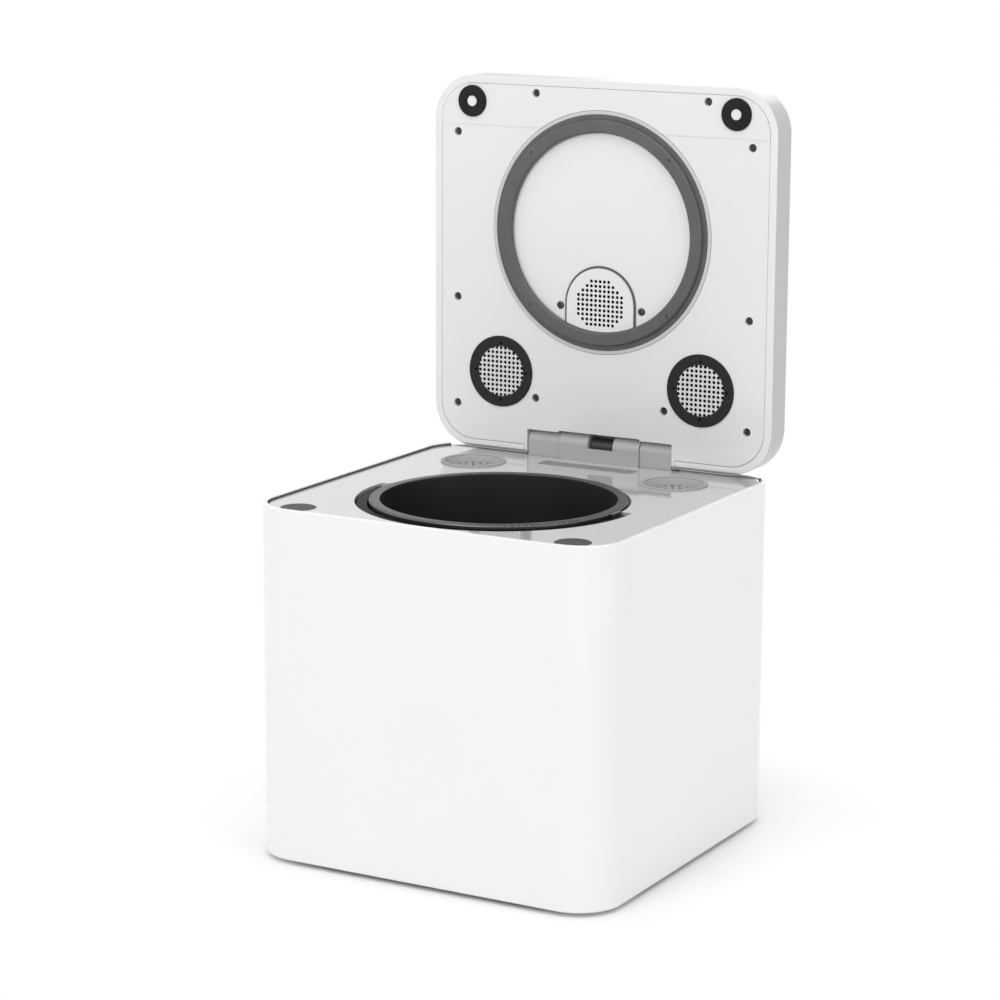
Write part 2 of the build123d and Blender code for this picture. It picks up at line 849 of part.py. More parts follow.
# ================================================================ body: rear ledge and top deck
with BuildPart() as rear_ledge:
    with BuildSketch(Plane.XY.offset(ledge_seat_z)):
        RectangleRounded(body_width, body_depth, corner_radius)
        with Locations((0, ledge_y - body_depth / 2)):
            Rectangle(2 * body_width, body_depth, mode=Mode.SUBTRACT)
    extrude(amount=ledge_cap)
    with BuildSketch(Plane.XY.offset(ledge_skirt_z)):
        RectangleRounded(inner_width - 2 * fit, inner_depth - 2 * fit, inner_radius - fit)
        with Locations((0, ledge_y - body_depth / 2)):
            Rectangle(2 * body_width, body_depth, mode=Mode.SUBTRACT)
        with Locations((0, ledge_y - ledge_shelf_reach / 2)):
            Rectangle(hinge_width + 2 * ledge_shelf_margin, ledge_shelf_reach)
    extrude(amount=ledge_skirt)
    # The hinge stands in a gap of the cap
    with BuildSketch(Plane.XY.offset(ledge_seat_z)):
        with Locations((0, ledge_y)):
            Rectangle(2 * (hinge_body_half + close_fit), 3 * ledge_depth)
    extrude(amount=2 * ledge_cap, mode=Mode.SUBTRACT)
write(rear_ledge, "rear_ledge")

port_spots = [(-port_spread, port_y), (port_spread, port_y)]
pad_spots = [(-magnet_spread, magnet_y), (magnet_spread, magnet_y)]

with BuildPart() as top_deck:
    with BuildSketch(Plane.XY.offset(deck_under_z)):
        RectangleRounded(
            inner_width - 2 * deck_joint, inner_depth - 2 * deck_joint, inner_radius - deck_joint
        )
        with Locations((0, ledge_y - fit + body_depth / 2)):
            Rectangle(body_width, body_depth, mode=Mode.SUBTRACT)
        with Locations((0, lid_face_y + hinge_inset - hinge_middle_radius - fit + ledge_depth / 2)):
            Rectangle(2 * (hinge_body_half + fit), ledge_depth, mode=Mode.SUBTRACT)
    extrude(amount=deck_thickness)
    # Sockets that hold the port grilles
    with BuildSketch(Plane.XY.offset(deck_under_z - port_socket_depth)):
        with Locations(*port_spots):
            Circle(port_radius + port_socket_wall)
    extrude(amount=port_socket_depth)
    with BuildSketch(Plane.XY.offset(deck_under_z - port_socket_depth + port_grille_thickness)):
        with Locations(*port_spots):
            Circle(port_radius)
    extrude(amount=2 * port_socket_depth, mode=Mode.SUBTRACT)
    with BuildSketch(Plane.XY.offset(deck_under_z - port_socket_depth)):
        with Locations(*port_spots):
            Circle(port_radius - port_lip)
    extrude(amount=port_socket_depth, mode=Mode.SUBTRACT)
    # Opening for the bucket, wider in front where its handle folds down
    with BuildSketch(well_plane(deck_under_z)):
        Circle(opening_radius)
        add(trough_sketch(trough_radius, trough_back))
    extrude(amount=deck_thickness, mode=Mode.SUBTRACT)
    with BuildSketch(Plane.XY.offset(deck_z)):
        with Locations(*pad_spots):
            Circle(strike_pad_radius + pocket_fit)
    extrude(amount=-strike_pad_thickness, mode=Mode.SUBTRACT)
    with BuildSketch(Plane.XY.offset(deck_z)):
        with Locations((0, cover_y)):
            Rectangle(cable_cover_width, cable_cover_depth)
    extrude(amount=-cable_cover_recess, mode=Mode.SUBTRACT)
write(top_deck, "top_deck")

with BuildPart() as strike_pads:
    with BuildSketch(Plane.XY.offset(deck_z - strike_pad_thickness)):
        with Locations(*pad_spots):
            Circle(strike_pad_radius)
    extrude(amount=strike_pad_thickness)
write(strike_pads, "strike_pads")

with BuildPart() as cable_cover:
    with BuildSketch(Plane.XY.offset(deck_z - cable_cover_recess)):
        with Locations((0, cover_y)):
            RectangleRounded(
                cable_cover_width - 2 * fit, cable_cover_depth - 2 * fit, cable_cover_corner
            )
    extrude(amount=cable_cover_thickness)
write(cable_cover, "cable_cover")

port_grille_z = deck_under_z - port_socket_depth + port_grille_thickness
with BuildPart() as port_grilles:
    with BuildSketch(Plane.XY.offset(port_grille_z)):
        with Locations(*port_spots):
            Circle(port_radius - loose_fit)
        with Locations(*port_spots):
            with PolarLocations(port_slot_circle, port_slots):
                SlotOverall(port_slot_length, port_slot_width, mode=Mode.SUBTRACT)
            with PolarLocations(port_inner_circle, port_inner_slots):
                SlotOverall(port_inner_length, port_slot_width, mode=Mode.SUBTRACT)
    extrude(amount=port_grille_thickness)
write(port_grilles, "port_grilles")

with BuildPart() as port_seals:
    with BuildSketch(Plane.XY.offset(deck_z)):
        with Locations(*port_spots):
            Circle(port_seal_radius)
            Circle(port_radius + loose_fit, mode=Mode.SUBTRACT)
    extrude(amount=port_seal_height)
    fillet(port_seals.edges().group_by(Axis.Z)[-1], port_seal_fillet)
write(port_seals, "port_seals")

# ================================================================ body: hinge
def hinge_profile(radius):
    """Private sketch of a hinge body seen from the side: upright sides under a round top."""
    with BuildSketch(mode=Mode.PRIVATE) as profile:
        Circle(radius)
        with Locations((0, (ledge_seat_z - hinge_z) / 2)):
            Rectangle(2 * radius, hinge_z - ledge_seat_z)
    return profile.sketch


def hinge_plane(x):
    """Plane across the hinge axis, local x to the rear and local y up."""
    return Plane(origin=(x, hinge_y, hinge_z), x_dir=(0, 1, 0), z_dir=(1, 0, 0))


slot_left = damper_slot_shift - damper_slot_width / 2
with BuildPart() as hinge_block:
    with BuildSketch(hinge_plane(-hinge_middle_width / 2)):
        add(hinge_profile(hinge_middle_radius))
    extrude(amount=hinge_middle_width)
    with BuildSketch(hinge_plane(slot_left)):
        Circle(damper_diameter / 2 + loose_fit)
        with Locations((-damper_diameter / 4, hinge_middle_radius - damper_slot_rise)):
            Rectangle(2 * hinge_middle_radius, 2 * hinge_middle_radius)
    extrude(amount=damper_slot_width, mode=Mode.SUBTRACT)
write(hinge_block, "hinge_block")

with BuildPart() as hinge_damper:
    with BuildSketch(hinge_plane(slot_left + fit)):
        Circle(damper_diameter / 2)
    extrude(amount=damper_slot_width - 2 * fit)
    chamfer(hinge_damper.edges(), damper_chamfer)
write(hinge_damper, "hinge_damper")

cap_inner_x = hinge_middle_width / 2 + fit
with BuildPart() as hinge_caps:
    for start in (cap_inner_x, -hinge_body_half):
        with BuildSketch(hinge_plane(start)):
            add(hinge_profile(hinge_cap_radius))
        extrude(amount=hinge_body_half - cap_inner_x)
    for start in (hinge_body_half - hinge_pin_reach, -hinge_body_half):
        with BuildSketch(hinge_plane(start)):
            Circle(hinge_pin_diameter / 2 + close_fit)
        extrude(amount=hinge_pin_reach, mode=Mode.SUBTRACT)
write(hinge_caps, "hinge_caps")

pin_inner_x = hinge_body_half - hinge_pin_reach
with BuildPart() as hinge_pins:
    for start in (pin_inner_x, -pin_inner_x - hinge_pin_length):
        with BuildSketch(hinge_plane(start)):
            Circle(hinge_pin_diameter / 2)
        extrude(amount=hinge_pin_length)
    chamfer(hinge_pins.edges().filter_by(GeomType.CIRCLE), hinge_pin_chamfer)
write(hinge_pins, "hinge_pins")

# ================================================================ body: well
with BuildPart() as well_collar:
    with BuildSketch(well_plane(collar_bottom_z)):
        Circle(neck_outer)
        add(trough_sketch(trough_radius + trough_wall, trough_back + trough_wall))
    extrude(amount=deck_under_z - collar_bottom_z)
    with BuildSketch(well_plane(deck_under_z - trough_wall)):
        Circle(collar_outer)
        with Locations((0, -bucket_y)):
            Rectangle(body_width, inner_depth - 2 * deck_shelf_width - 2 * fit, mode=Mode.INTERSECT)
    extrude(amount=trough_wall)
    with BuildSketch(well_plane(trough_floor_z)):
        add(trough_sketch(trough_radius, trough_back))
    extrude(amount=trough_depth, mode=Mode.SUBTRACT)
    with BuildSketch(well_plane(collar_bottom_z)):
        Circle(neck_outer)
    extrude(amount=neck_top_z - collar_bottom_z)
    with BuildSketch(well_plane(collar_bottom_z)):
        Circle(neck_inner)
    extrude(amount=neck_top_z - collar_bottom_z, mode=Mode.SUBTRACT)
write(well_collar, "well_collar")

with BuildPart() as well_liner:
    with BuildSketch(WELL_SECTION):
        with BuildLine():
            FilletPolyline(
                (liner_hole_radius, liner_bottom_z),
                (liner_outer, liner_bottom_z),
                (liner_outer, collar_bottom_z - liner_wall),
                (liner_outer + liner_flange, collar_bottom_z - liner_wall),
                (liner_outer + liner_flange, collar_bottom_z),
                (neck_inner, collar_bottom_z),
                (neck_inner, liner_bottom_z + liner_wall),
                (liner_hole_radius, liner_bottom_z + liner_wall),
                radius=[0, liner_corner, 0, 0, 0, 0, liner_corner - liner_wall, 0],
                close=True,
            )
        make_face()
    revolve(axis=WELL_AXIS)
write(well_liner, "well_liner")

with BuildPart() as heater_band:
    with BuildSketch(well_plane(bucket_bottom_z)):
        Circle(heater_outer)
        Circle(liner_outer + fit, mode=Mode.SUBTRACT)
    extrude(amount=heater_height)
write(heater_band, "heater_band")

with BuildPart() as insulation:
    with BuildSketch(well_plane(bucket_bottom_z)):
        Circle(insulation_inner + insulation_thickness)
        Circle(insulation_inner, mode=Mode.SUBTRACT)
    extrude(amount=insulation_height)
write(insulation, "insulation")

# ================================================================ body: ducts, collector, fan
duct_inner = port_radius + port_socket_wall + loose_fit
duct_outer = duct_inner + duct_wall
collector_base = fan_height - collector_height / 2

with BuildPart() as port_ducts:
    with BuildSketch(Plane.XY.offset(collector_base + collector_height - collector_wall)):
        with Locations(*port_spots):
            Circle(duct_outer)
            Circle(duct_inner, mode=Mode.SUBTRACT)
    extrude(amount=deck_under_z - fit - collector_base - collector_height + collector_wall)
write(port_ducts, "port_ducts")


def collector_sketch(inset):
    """Private sketch of the collector's outline from above, drawn in by an inset."""
    with BuildSketch(mode=Mode.PRIVATE) as outline:
        with Locations((0, (collector_front + collector_back) / 2)):
            Rectangle(2 * port_spread, collector_back - collector_front - 2 * inset)
        with Locations(*port_spots):
            Circle(duct_outer + collector_margin - inset)
    return outline.sketch


with BuildPart() as collector:
    with BuildSketch(Plane.XY.offset(collector_base)):
        add(collector_sketch(0))
    extrude(amount=collector_height)
    with BuildSketch(Plane.XY.offset(collector_base + collector_wall)):
        add(collector_sketch(collector_wall))
    extrude(amount=collector_height - 2 * collector_wall, mode=Mode.SUBTRACT)
    with BuildSketch(Plane.XY.offset(collector_base + collector_height - collector_wall)):
        with Locations(*port_spots):
            Circle(duct_outer + close_fit)
    extrude(amount=collector_wall, mode=Mode.SUBTRACT)
    with BuildSketch(REAR.offset(collector_back - back_y - 2 * collector_wall)):
        with Locations((0, fan_height)):
            Circle(fan_bore_radius - collector_lip)
    extrude(amount=3 * collector_wall, mode=Mode.SUBTRACT)
write(collector, "collector")


def fan_plane(depth):
    """Plane across the fan's axis, a depth behind the fan's front face."""
    return Plane(origin=(0, fan_y + depth, fan_height), x_dir=(-1, 0, 0), z_dir=(0, 1, 0))


fan_strut_start = fan_depth - fan_strut_depth
with BuildPart() as fan_frame:
    with BuildSketch(fan_plane(0)):
        RectangleRounded(fan_size, fan_size, fan_corner)
        Circle(fan_bore_radius, mode=Mode.SUBTRACT)
        with GridLocations(fan_size - 2 * fan_hole_inset, fan_size - 2 * fan_hole_inset, 2, 2):
            Circle(fan_hole_radius, mode=Mode.SUBTRACT)
    extrude(amount=fan_depth)
    with BuildSketch(fan_plane(fan_strut_start)):
        Circle(fan_hub_radius)
        strut_middle = (fan_bore_radius + fan_hub_radius) / 2
        with PolarLocations(strut_middle, fan_struts, start_angle=fan_strut_bearing):
            Rectangle(fan_bore_radius - fan_hub_radius + 2 * fan_strut_root, fan_strut_width)
    extrude(amount=fan_strut_depth)
    with BuildSketch(fan_plane(fan_strut_start - fan_pin_length)):
        Circle(fan_pin_radius)
    extrude(amount=fan_pin_length)
write(fan_frame, "fan_frame")

fan_hub_start = fan_strut_start - fan_end_gap - fan_hub_depth
fan_hub_middle = Vector(0, fan_y + fan_hub_start + fan_hub_depth / 2, fan_height)
with BuildPart() as fan_rotor:
    with BuildSketch(fan_plane(fan_hub_start)):
        Circle(fan_hub_radius)
    extrude(amount=fan_hub_depth)
    fillet(fan_rotor.edges().sort_by(Axis.Y)[0], fan_hub_fillet)
    for blade in range(fan_blades):
        reach = Vector(0, 0, 1).rotate(Axis.Y, 360 / fan_blades * blade)
        root = (fan_hub_radius - fan_blade_root, fan_root_pitch)
        tip = (fan_bore_radius - fan_tip_gap, fan_tip_pitch)
        for radius, pitch in (root, tip):
            section = Plane(origin=fan_hub_middle + reach * radius, x_dir=(0, 1, 0), z_dir=reach)
            chord = fan_blade_chord * math.sin(math.radians(pitch))
            with BuildSketch(section):
                Rectangle(chord, fan_blade_thickness, rotation=pitch - 90)
        loft()
    with BuildSketch(fan_plane(fan_strut_start - fan_pin_length - fan_end_gap)):
        Circle(fan_pin_radius + snug_fit)
    extrude(amount=fan_pin_length + fan_end_gap, mode=Mode.SUBTRACT)
write(fan_rotor, "fan_rotor")

# ================================================================ body: gearbox and motor
output_spot = (0, bucket_y)
idler_spot = (idler_x, idler_y)
motor_spot = (motor_x, motor_y)


def gearbox_sketch(margin):
    """Private sketch of the gearbox outline: the hull of three circles round its shafts."""
    with BuildSketch(mode=Mode.PRIVATE) as outline:
        with Locations(output_spot):
            Circle(output_pitch + output_module + margin)
        with Locations(idler_spot):
            Circle(idler_pitch + motor_module + margin)
        with Locations(motor_spot):
            Circle(motor_module * (pinion_teeth / 2 + 1) + margin)
        make_hull()
    return outline.sketch


with BuildPart() as gearbox_case:
    with BuildSketch(Plane.XY.offset(gearbox_floor_height)):
        add(gearbox_sketch(gearbox_air + gearbox_wall))
        with Locations(*gearbox_leg_spots):
            Circle(gearbox_lug_radius)
    extrude(amount=gearbox_wall)
    with BuildSketch(Plane.XY.offset(gearbox_floor_height)):
        add(gearbox_sketch(gearbox_air + gearbox_wall))
    extrude(amount=gearbox_height)
    with BuildSketch(well_plane(gear_floor_z - bearing_width - bearing_shoulder)):
        Circle(bearing_radius + gearbox_wall)
    extrude(amount=bearing_width + bearing_shoulder - gearbox_wall)
    with BuildSketch(Plane.XY.offset(gear_floor_z)):
        add(gearbox_sketch(gearbox_air))
    extrude(amount=gearbox_height, mode=Mode.SUBTRACT)
    with BuildSketch(well_plane(gear_floor_z - bearing_width)):
        Circle(bearing_radius + close_fit)
    extrude(amount=bearing_width, mode=Mode.SUBTRACT)
    with BuildSketch(Plane.XY.offset(gearbox_floor_height)):
        with Locations(motor_spot):
            Circle(motor_shaft_diameter / 2 + shaft_air)
    extrude(amount=gearbox_wall, mode=Mode.SUBTRACT)
    with BuildSketch(Plane.XY.offset(gearbox_floor_height + blind_floor)):
        with Locations(idler_spot):
            Circle(idler_axle_diameter / 2 + close_fit)
    extrude(amount=gearbox_wall, mode=Mode.SUBTRACT)
write(gearbox_case, "gearbox_case")

cover_bearing_z = gear_cover_z + bearing_end_gap
with BuildPart() as gearbox_cover:
    with BuildSketch(Plane.XY.offset(gear_cover_z)):
        add(gearbox_sketch(gearbox_air + gearbox_wall))
    extrude(amount=gearbox_wall)
    with BuildSketch(well_plane(gear_cover_z)):
        Circle(bearing_radius + gearbox_wall)
    extrude(amount=bearing_width + bearing_shoulder)
    fillet(gearbox_cover.edges().group_by(Axis.Z)[-1], gearbox_fillet)
    with BuildSketch(well_plane(gear_cover_z)):
        Circle(bearing_radius + close_fit)
    extrude(amount=bearing_width + bearing_end_gap, mode=Mode.SUBTRACT)
    with BuildSketch(well_plane(gear_cover_z)):
        Circle(output_shaft_diameter / 2 + shaft_air)
    extrude(amount=bearing_width + bearing_shoulder, mode=Mode.SUBTRACT)
    with BuildSketch(Plane.XY.offset(gear_cover_z)):
        with Locations(idler_spot):
            Circle(idler_axle_diameter / 2 + close_fit)
    extrude(amount=gearbox_wall - blind_floor, mode=Mode.SUBTRACT)
write(gearbox_cover, "gearbox_cover")

with BuildPart() as output_bearings:
    for start in (gear_floor_z - bearing_width, cover_bearing_z):
        with BuildSketch(well_plane(start)):
            Circle(bearing_radius)
            Circle(output_shaft_diameter / 2 + close_fit, mode=Mode.SUBTRACT)
        extrude(amount=bearing_width)
write(output_bearings, "output_bearings")


def star_sketch(clearance):
    """Private sketch of the six-lobed drive star, grown by a clearance."""
    with BuildSketch(mode=Mode.PRIVATE) as star:
        Circle(star_radius - star_lobe_radius + clearance)
        with PolarLocations(star_radius - star_lobe_radius, star_lobes):
            Circle(star_lobe_radius + clearance)
    return star.sketch


star_base_z = gear_cover_z + bearing_width + bearing_shoulder + star_foot_gap
star_top_z = liner_bottom_z + star_reach
with BuildPart() as output_shaft:
    with BuildSketch(well_plane(gear_floor_z - bearing_width + bearing_end_gap)):
        Circle(output_shaft_diameter / 2)
    extrude(amount=star_base_z - gear_floor_z + bearing_width)
    with BuildSketch(well_plane(star_base_z)):
        add(star_sketch(0))
    extrude(amount=star_top_z - star_base_z)
    chamfer(output_shaft.edges().group_by(Axis.Z)[-1], star_chamfer)
write(output_shaft, "output_shaft")

with BuildPart() as output_wheel:
    with BuildSketch(well_plane(output_wheel_z)):
        add(gear_sketch(output_module, wheel_teeth, idler_bearing))
    extrude(amount=wheel_face)
    # Web thinner than the rim and hub, with lightening holes
    for start in (output_wheel_z, output_wheel_z + wheel_face - wheel_recess):
        with BuildSketch(well_plane(start)):
            Circle(output_pitch - wheel_rim)
            Circle(wheel_hub_radius, mode=Mode.SUBTRACT)
        extrude(amount=wheel_recess, mode=Mode.SUBTRACT)
    with BuildSketch(well_plane(output_wheel_z)):
        with PolarLocations(wheel_hole_circle, wheel_holes):
            Circle(wheel_hole_radius)
        Circle(output_shaft_diameter / 2 + close_fit)
    extrude(amount=wheel_face, mode=Mode.SUBTRACT)
write(output_wheel, "output_wheel")

half_pinion_pitch = 180 / pinion_teeth
with BuildPart() as idler_wheel:
    with BuildSketch(Plane.XY.offset(idler_wheel_z)):
        with Locations(idler_spot):
            add(gear_sketch(motor_module, wheel_teeth, motor_bearing))
    extrude(amount=idler_face)
    for start in (idler_wheel_z, idler_wheel_z + idler_face - idler_recess):
        with BuildSketch(Plane.XY.offset(start)):
            with Locations(idler_spot):
                Circle(idler_pitch - idler_rim)
                Circle(idler_hub_radius, mode=Mode.SUBTRACT)
        extrude(amount=idler_recess, mode=Mode.SUBTRACT)
    # The small wheel under it, turned so that a gap faces the output wheel's tooth
    with BuildSketch(Plane.XY.offset(output_wheel_z)):
        with Locations(idler_spot):
            add(gear_sketch(output_module, pinion_teeth, idler_bearing + 180 + half_pinion_pitch))
    extrude(amount=wheel_face + tier_gap)
    with BuildSketch(Plane.XY.offset(output_wheel_z)):
        with Locations(idler_spot):
            Circle(idler_axle_diameter / 2 + close_fit)
    extrude(amount=gearbox_height, mode=Mode.SUBTRACT)
write(idler_wheel, "idler_wheel")

with BuildPart() as idler_axle:
    with BuildSketch(Plane.XY.offset(gearbox_floor_height + blind_floor)):
        with Locations(idler_spot):
            Circle(idler_axle_diameter / 2)
    extrude(amount=gearbox_height + gearbox_wall - 2 * blind_floor)
write(idler_axle, "idler_axle")

motor_shaft_z = gearbox_floor_height - motor_shaft_grip
with BuildPart() as motor_pinion:
    with BuildSketch(Plane.XY.offset(idler_wheel_z)):
        with Locations(motor_spot):
            add(gear_sketch(motor_module, pinion_teeth, motor_bearing + 180 + half_pinion_pitch))
    extrude(amount=idler_face)
    with BuildSketch(Plane.XY.offset(motor_shaft_z)):
        with Locations(motor_spot):
            Circle(motor_shaft_diameter / 2)
    extrude(amount=idler_wheel_z + idler_face + motor_shaft_end - motor_shaft_z)
write(motor_pinion, "motor_pinion")

with BuildPart() as motor_housing:
    with BuildSketch(Plane.XY.offset(motor_base_z)):
        with Locations(motor_spot):
            Circle(motor_radius)
    extrude(amount=gearbox_floor_height - motor_base_z)
    fillet(motor_housing.edges().group_by(Axis.Z)[0], motor_fillet)
    with BuildSketch(Plane.XY.offset(motor_shaft_z - motor_shaft_end)):
        with Locations(motor_spot):
            Circle(motor_shaft_diameter / 2 + close_fit)
    extrude(amount=motor_shaft_grip + motor_shaft_end, mode=Mode.SUBTRACT)
write(motor_housing, "motor_housing")

# ================================================================ lid
def lid_corner_cutter():
    """Private sketch, seen along X, of what rounds the lid's rear inner edge for its swing."""
    with BuildSketch(mode=Mode.PRIVATE) as corner:
        with Locations((0, 0)):
            Rectangle(2 * lid_swing_radius, 2 * lid_swing_radius)
        with Locations((lid_swing_radius, lid_swing_radius)):
            Circle(lid_swing_radius, mode=Mode.SUBTRACT)
            with Locations((lid_swing_radius, 0)):
                Rectangle(2 * lid_swing_radius, 4 * lid_swing_radius, mode=Mode.SUBTRACT)
            with Locations((0, lid_swing_radius)):
                Rectangle(4 * lid_swing_radius, 2 * lid_swing_radius, mode=Mode.SUBTRACT)
    return corner.sketch


lid_corner_plane = Plane(
    origin=(-body_width, lid_face_y, lid_bottom_z), x_dir=(0, 1, 0), z_dir=(1, 0, 0)
)
lid_mid = (0, body_depth / 2)
pocket_outer_half = hinge_half + hinge_pocket_wall

with BuildPart() as lid_cover:
    with BuildSketch(LID.offset(-lid_thickness)):
        with Locations(lid_mid):
            RectangleRounded(body_width, body_depth, corner_radius)
    extrude(amount=lid_thickness)
    fillet(lid_cover.edges().group_by(Axis.Y)[-1], lid_outer_fillet)
    fillet(lid_cover.edges().group_by(Axis.Y)[0], lid_rim_fillet)
    with BuildSketch(LID.offset(-lid_thickness + lid_skin)):
        with Locations(lid_mid):
            RectangleRounded(
                body_width - 2 * lid_side_wall,
                body_depth - 2 * lid_side_wall,
                corner_radius - lid_side_wall,
            )
    extrude(amount=lid_thickness - lid_skin - lid_rim_depth, mode=Mode.SUBTRACT)
    with BuildSketch(LID.offset(-lid_rim_depth)):
        with Locations(lid_mid):
            RectangleRounded(
                body_width - 2 * lid_rim_width,
                body_depth - 2 * lid_rim_width,
                corner_radius - lid_rim_width,
            )
    extrude(amount=lid_rim_depth, mode=Mode.SUBTRACT)
    # Screw bosses on the skin
    with BuildSketch(LID.offset(-lid_thickness + lid_skin)):
        with Locations(*lid_screw_spots):
            Circle(lid_boss_radius)
    extrude(amount=lid_thickness - lid_skin - panel_thickness - boss_socket_depth - lid_boss_gap)
    with BuildSketch(LID.offset(-lid_thickness + lid_skin + lid_boss_floor)):
        with Locations(*lid_screw_spots):
            Circle(screw_diameter / 2 + close_fit)
    extrude(amount=lid_thickness, mode=Mode.SUBTRACT)
    # Gap for the hinge pocket, swing rounding, and the button's hole with its light groove
    with BuildSketch(LID.offset(-hinge_pocket_depth - hinge_pocket_wall - fit)):
        with Locations((0, 0)):
            Rectangle(2 * (pocket_outer_half + fit), 2 * (lid_rim_width + fit))
    extrude(amount=lid_thickness, mode=Mode.SUBTRACT)
    with BuildSketch(lid_corner_plane):
        add(lid_corner_cutter())
    extrude(amount=2 * body_width, mode=Mode.SUBTRACT)
    button_spot = (0, body_depth - button_from_front)
    with BuildSketch(LID.offset(-lid_thickness)):
        with Locations(button_spot):
            Circle(button_radius + fit)
    extrude(amount=lid_skin, mode=Mode.SUBTRACT)
    with BuildSketch(LID.offset(-lid_thickness)):
        with Locations(button_spot):
            Circle(light_ring_outer + snug_fit)
            Circle(light_ring_inner - snug_fit, mode=Mode.SUBTRACT)
    extrude(amount=light_ring_depth, mode=Mode.SUBTRACT)
    with BuildSketch(LID.offset(-lid_thickness + lid_skin)):
        with Locations(button_spot):
            with GridLocations(
                panel_board_width - 2 * panel_post_inset,
                panel_board_height - 2 * panel_post_inset,
                2,
                2,
            ):
                Circle(panel_post_radius)
    extrude(amount=panel_post_height)
write(lid_cover, "lid_cover")

filter_spots = [(-port_spread, port_rear), (port_spread, port_rear)]
cup_inner = filter_neck_radius + filter_cup_gap
cup_depth = filter_neck_depth + cartridge_height + filter_cup_floor_gap
panel_width = body_width - 2 * panel_inset
panel_depth = body_depth - 2 * panel_inset
panel_corner = corner_radius - panel_inset
with BuildPart() as lid_panel:
    with BuildSketch(LID.offset(-panel_thickness)):
        with Locations(lid_mid):
            RectangleRounded(panel_width, panel_depth, panel_corner)
    extrude(amount=panel_thickness)
    # Raised strip along the free edge
    with BuildSketch(LID):
        with Locations(lid_mid):
            RectangleRounded(panel_width, panel_depth, panel_corner)
        with Locations((0, strip_v - body_depth / 2)):
            Rectangle(2 * body_width, body_depth, mode=Mode.SUBTRACT)
    extrude(amount=strip_rise)
    # Screw sockets and filter cups on the back of the panel
    with BuildSketch(LID.offset(-panel_thickness - boss_socket_depth)):
        with Locations(*lid_screw_spots):
            Circle(lid_boss_radius + boss_socket_rim)
    extrude(amount=boss_socket_depth)
    with BuildSketch(LID.offset(-cup_depth - filter_cup_wall)):
        with Locations(*filter_spots):
            Circle(cup_inner + filter_cup_wall)
    extrude(amount=cup_depth + filter_cup_wall)
    with BuildSketch(LID.offset(-cup_depth)):
        with Locations(*filter_spots):
            Circle(cup_inner)
    extrude(amount=2 * cup_depth, mode=Mode.SUBTRACT)
    with BuildSketch(LID.offset(-cup_depth - filter_cup_wall)):
        with Locations(*filter_spots):
            Circle(cup_inner - filter_cup_lip)
    extrude(amount=filter_cup_wall, mode=Mode.SUBTRACT)
    # Hinge pocket: a box round the hinge, open towards the body and the rear
    with BuildSketch(LID.offset(-hinge_pocket_depth - hinge_pocket_wall)):
        with Locations((0, (hinge_pocket_middle + hinge_pocket_wall) / 2)):
            Rectangle(2 * pocket_outer_half, hinge_pocket_middle + hinge_pocket_wall)
    extrude(amount=hinge_pocket_depth + hinge_pocket_wall)
    with BuildSketch(LID.offset(-hinge_pocket_depth)):
        with Locations((0, 0)):
            Rectangle(hinge_width, 2 * hinge_pocket_outer)
            Rectangle(hinge_middle_width + 2 * hinge_side_gap, 2 * hinge_pocket_middle)
    extrude(amount=2 * hinge_pocket_depth, mode=Mode.SUBTRACT)
    with BuildSketch(hinge_plane(-body_width / 2)):
        Circle(hinge_pin_diameter / 2 + fit)
    extrude(amount=body_width, mode=Mode.SUBTRACT)
    with BuildSketch(lid_corner_plane):
        add(lid_corner_cutter())
    extrude(amount=2 * body_width, mode=Mode.SUBTRACT)
    # Seat of the seal carrier
    with BuildSketch(LID.offset(-panel_thickness)):
        with Locations((0, seal_v)):
            Circle(carrier_seat)
    extrude(amount=2 * panel_thickness, mode=Mode.SUBTRACT)
    with BuildSketch(LID.offset(-carrier_flange)):
        with Locations((0, seal_v)):
            Circle(carrier_radius + fit)
    extrude(amount=2 * panel_thickness, mode=Mode.SUBTRACT)
    # Countersunk screw holes and magnet seats
    with BuildSketch(LID.offset(-panel_thickness - boss_socket_depth)):
        with Locations(*lid_screw_spots):
            Circle(screw_diameter / 2 + pocket_fit)
    extrude(amount=2 * panel_thickness + boss_socket_depth, mode=Mode.SUBTRACT)
    with BuildSketch(LID.offset(-panel_thickness)):
        with Locations(*lid_screw_spots):
            Circle(screw_head_diameter / 2 + screw_sink_gap)
    extrude(amount=2 * panel_thickness, mode=Mode.SUBTRACT)
    with BuildSketch(LID.offset(-magnet_ring_seat)):
        with Locations((-magnet_spread, magnet_v), (magnet_spread, magnet_v)):
            Circle(magnet_ring_radius + pocket_fit)
            Circle(magnet_core_radius - pocket_fit, mode=Mode.SUBTRACT)
    extrude(amount=2 * panel_thickness, mode=Mode.SUBTRACT)
    # Posts that hold the magnet rings by their bores
    with BuildSketch(LID):
        with Locations((-magnet_spread, magnet_v), (magnet_spread, magnet_v)):
            Circle(magnet_core_radius - pocket_fit)
    extrude(amount=magnet_core_height)
write(lid_panel, "lid_panel")

with BuildPart() as magnet_rings:
    with BuildSketch(LID.offset(-magnet_ring_seat)):
        with Locations((-magnet_spread, magnet_v), (magnet_spread, magnet_v)):
            Circle(magnet_ring_radius)
            Circle(magnet_core_radius, mode=Mode.SUBTRACT)
    extrude(amount=magnet_ring_seat + magnet_ring_height)
    fillet(magnet_rings.edges().group_by(Axis.Y)[0], magnet_ring_fillet)
write(magnet_rings, "magnet_rings")

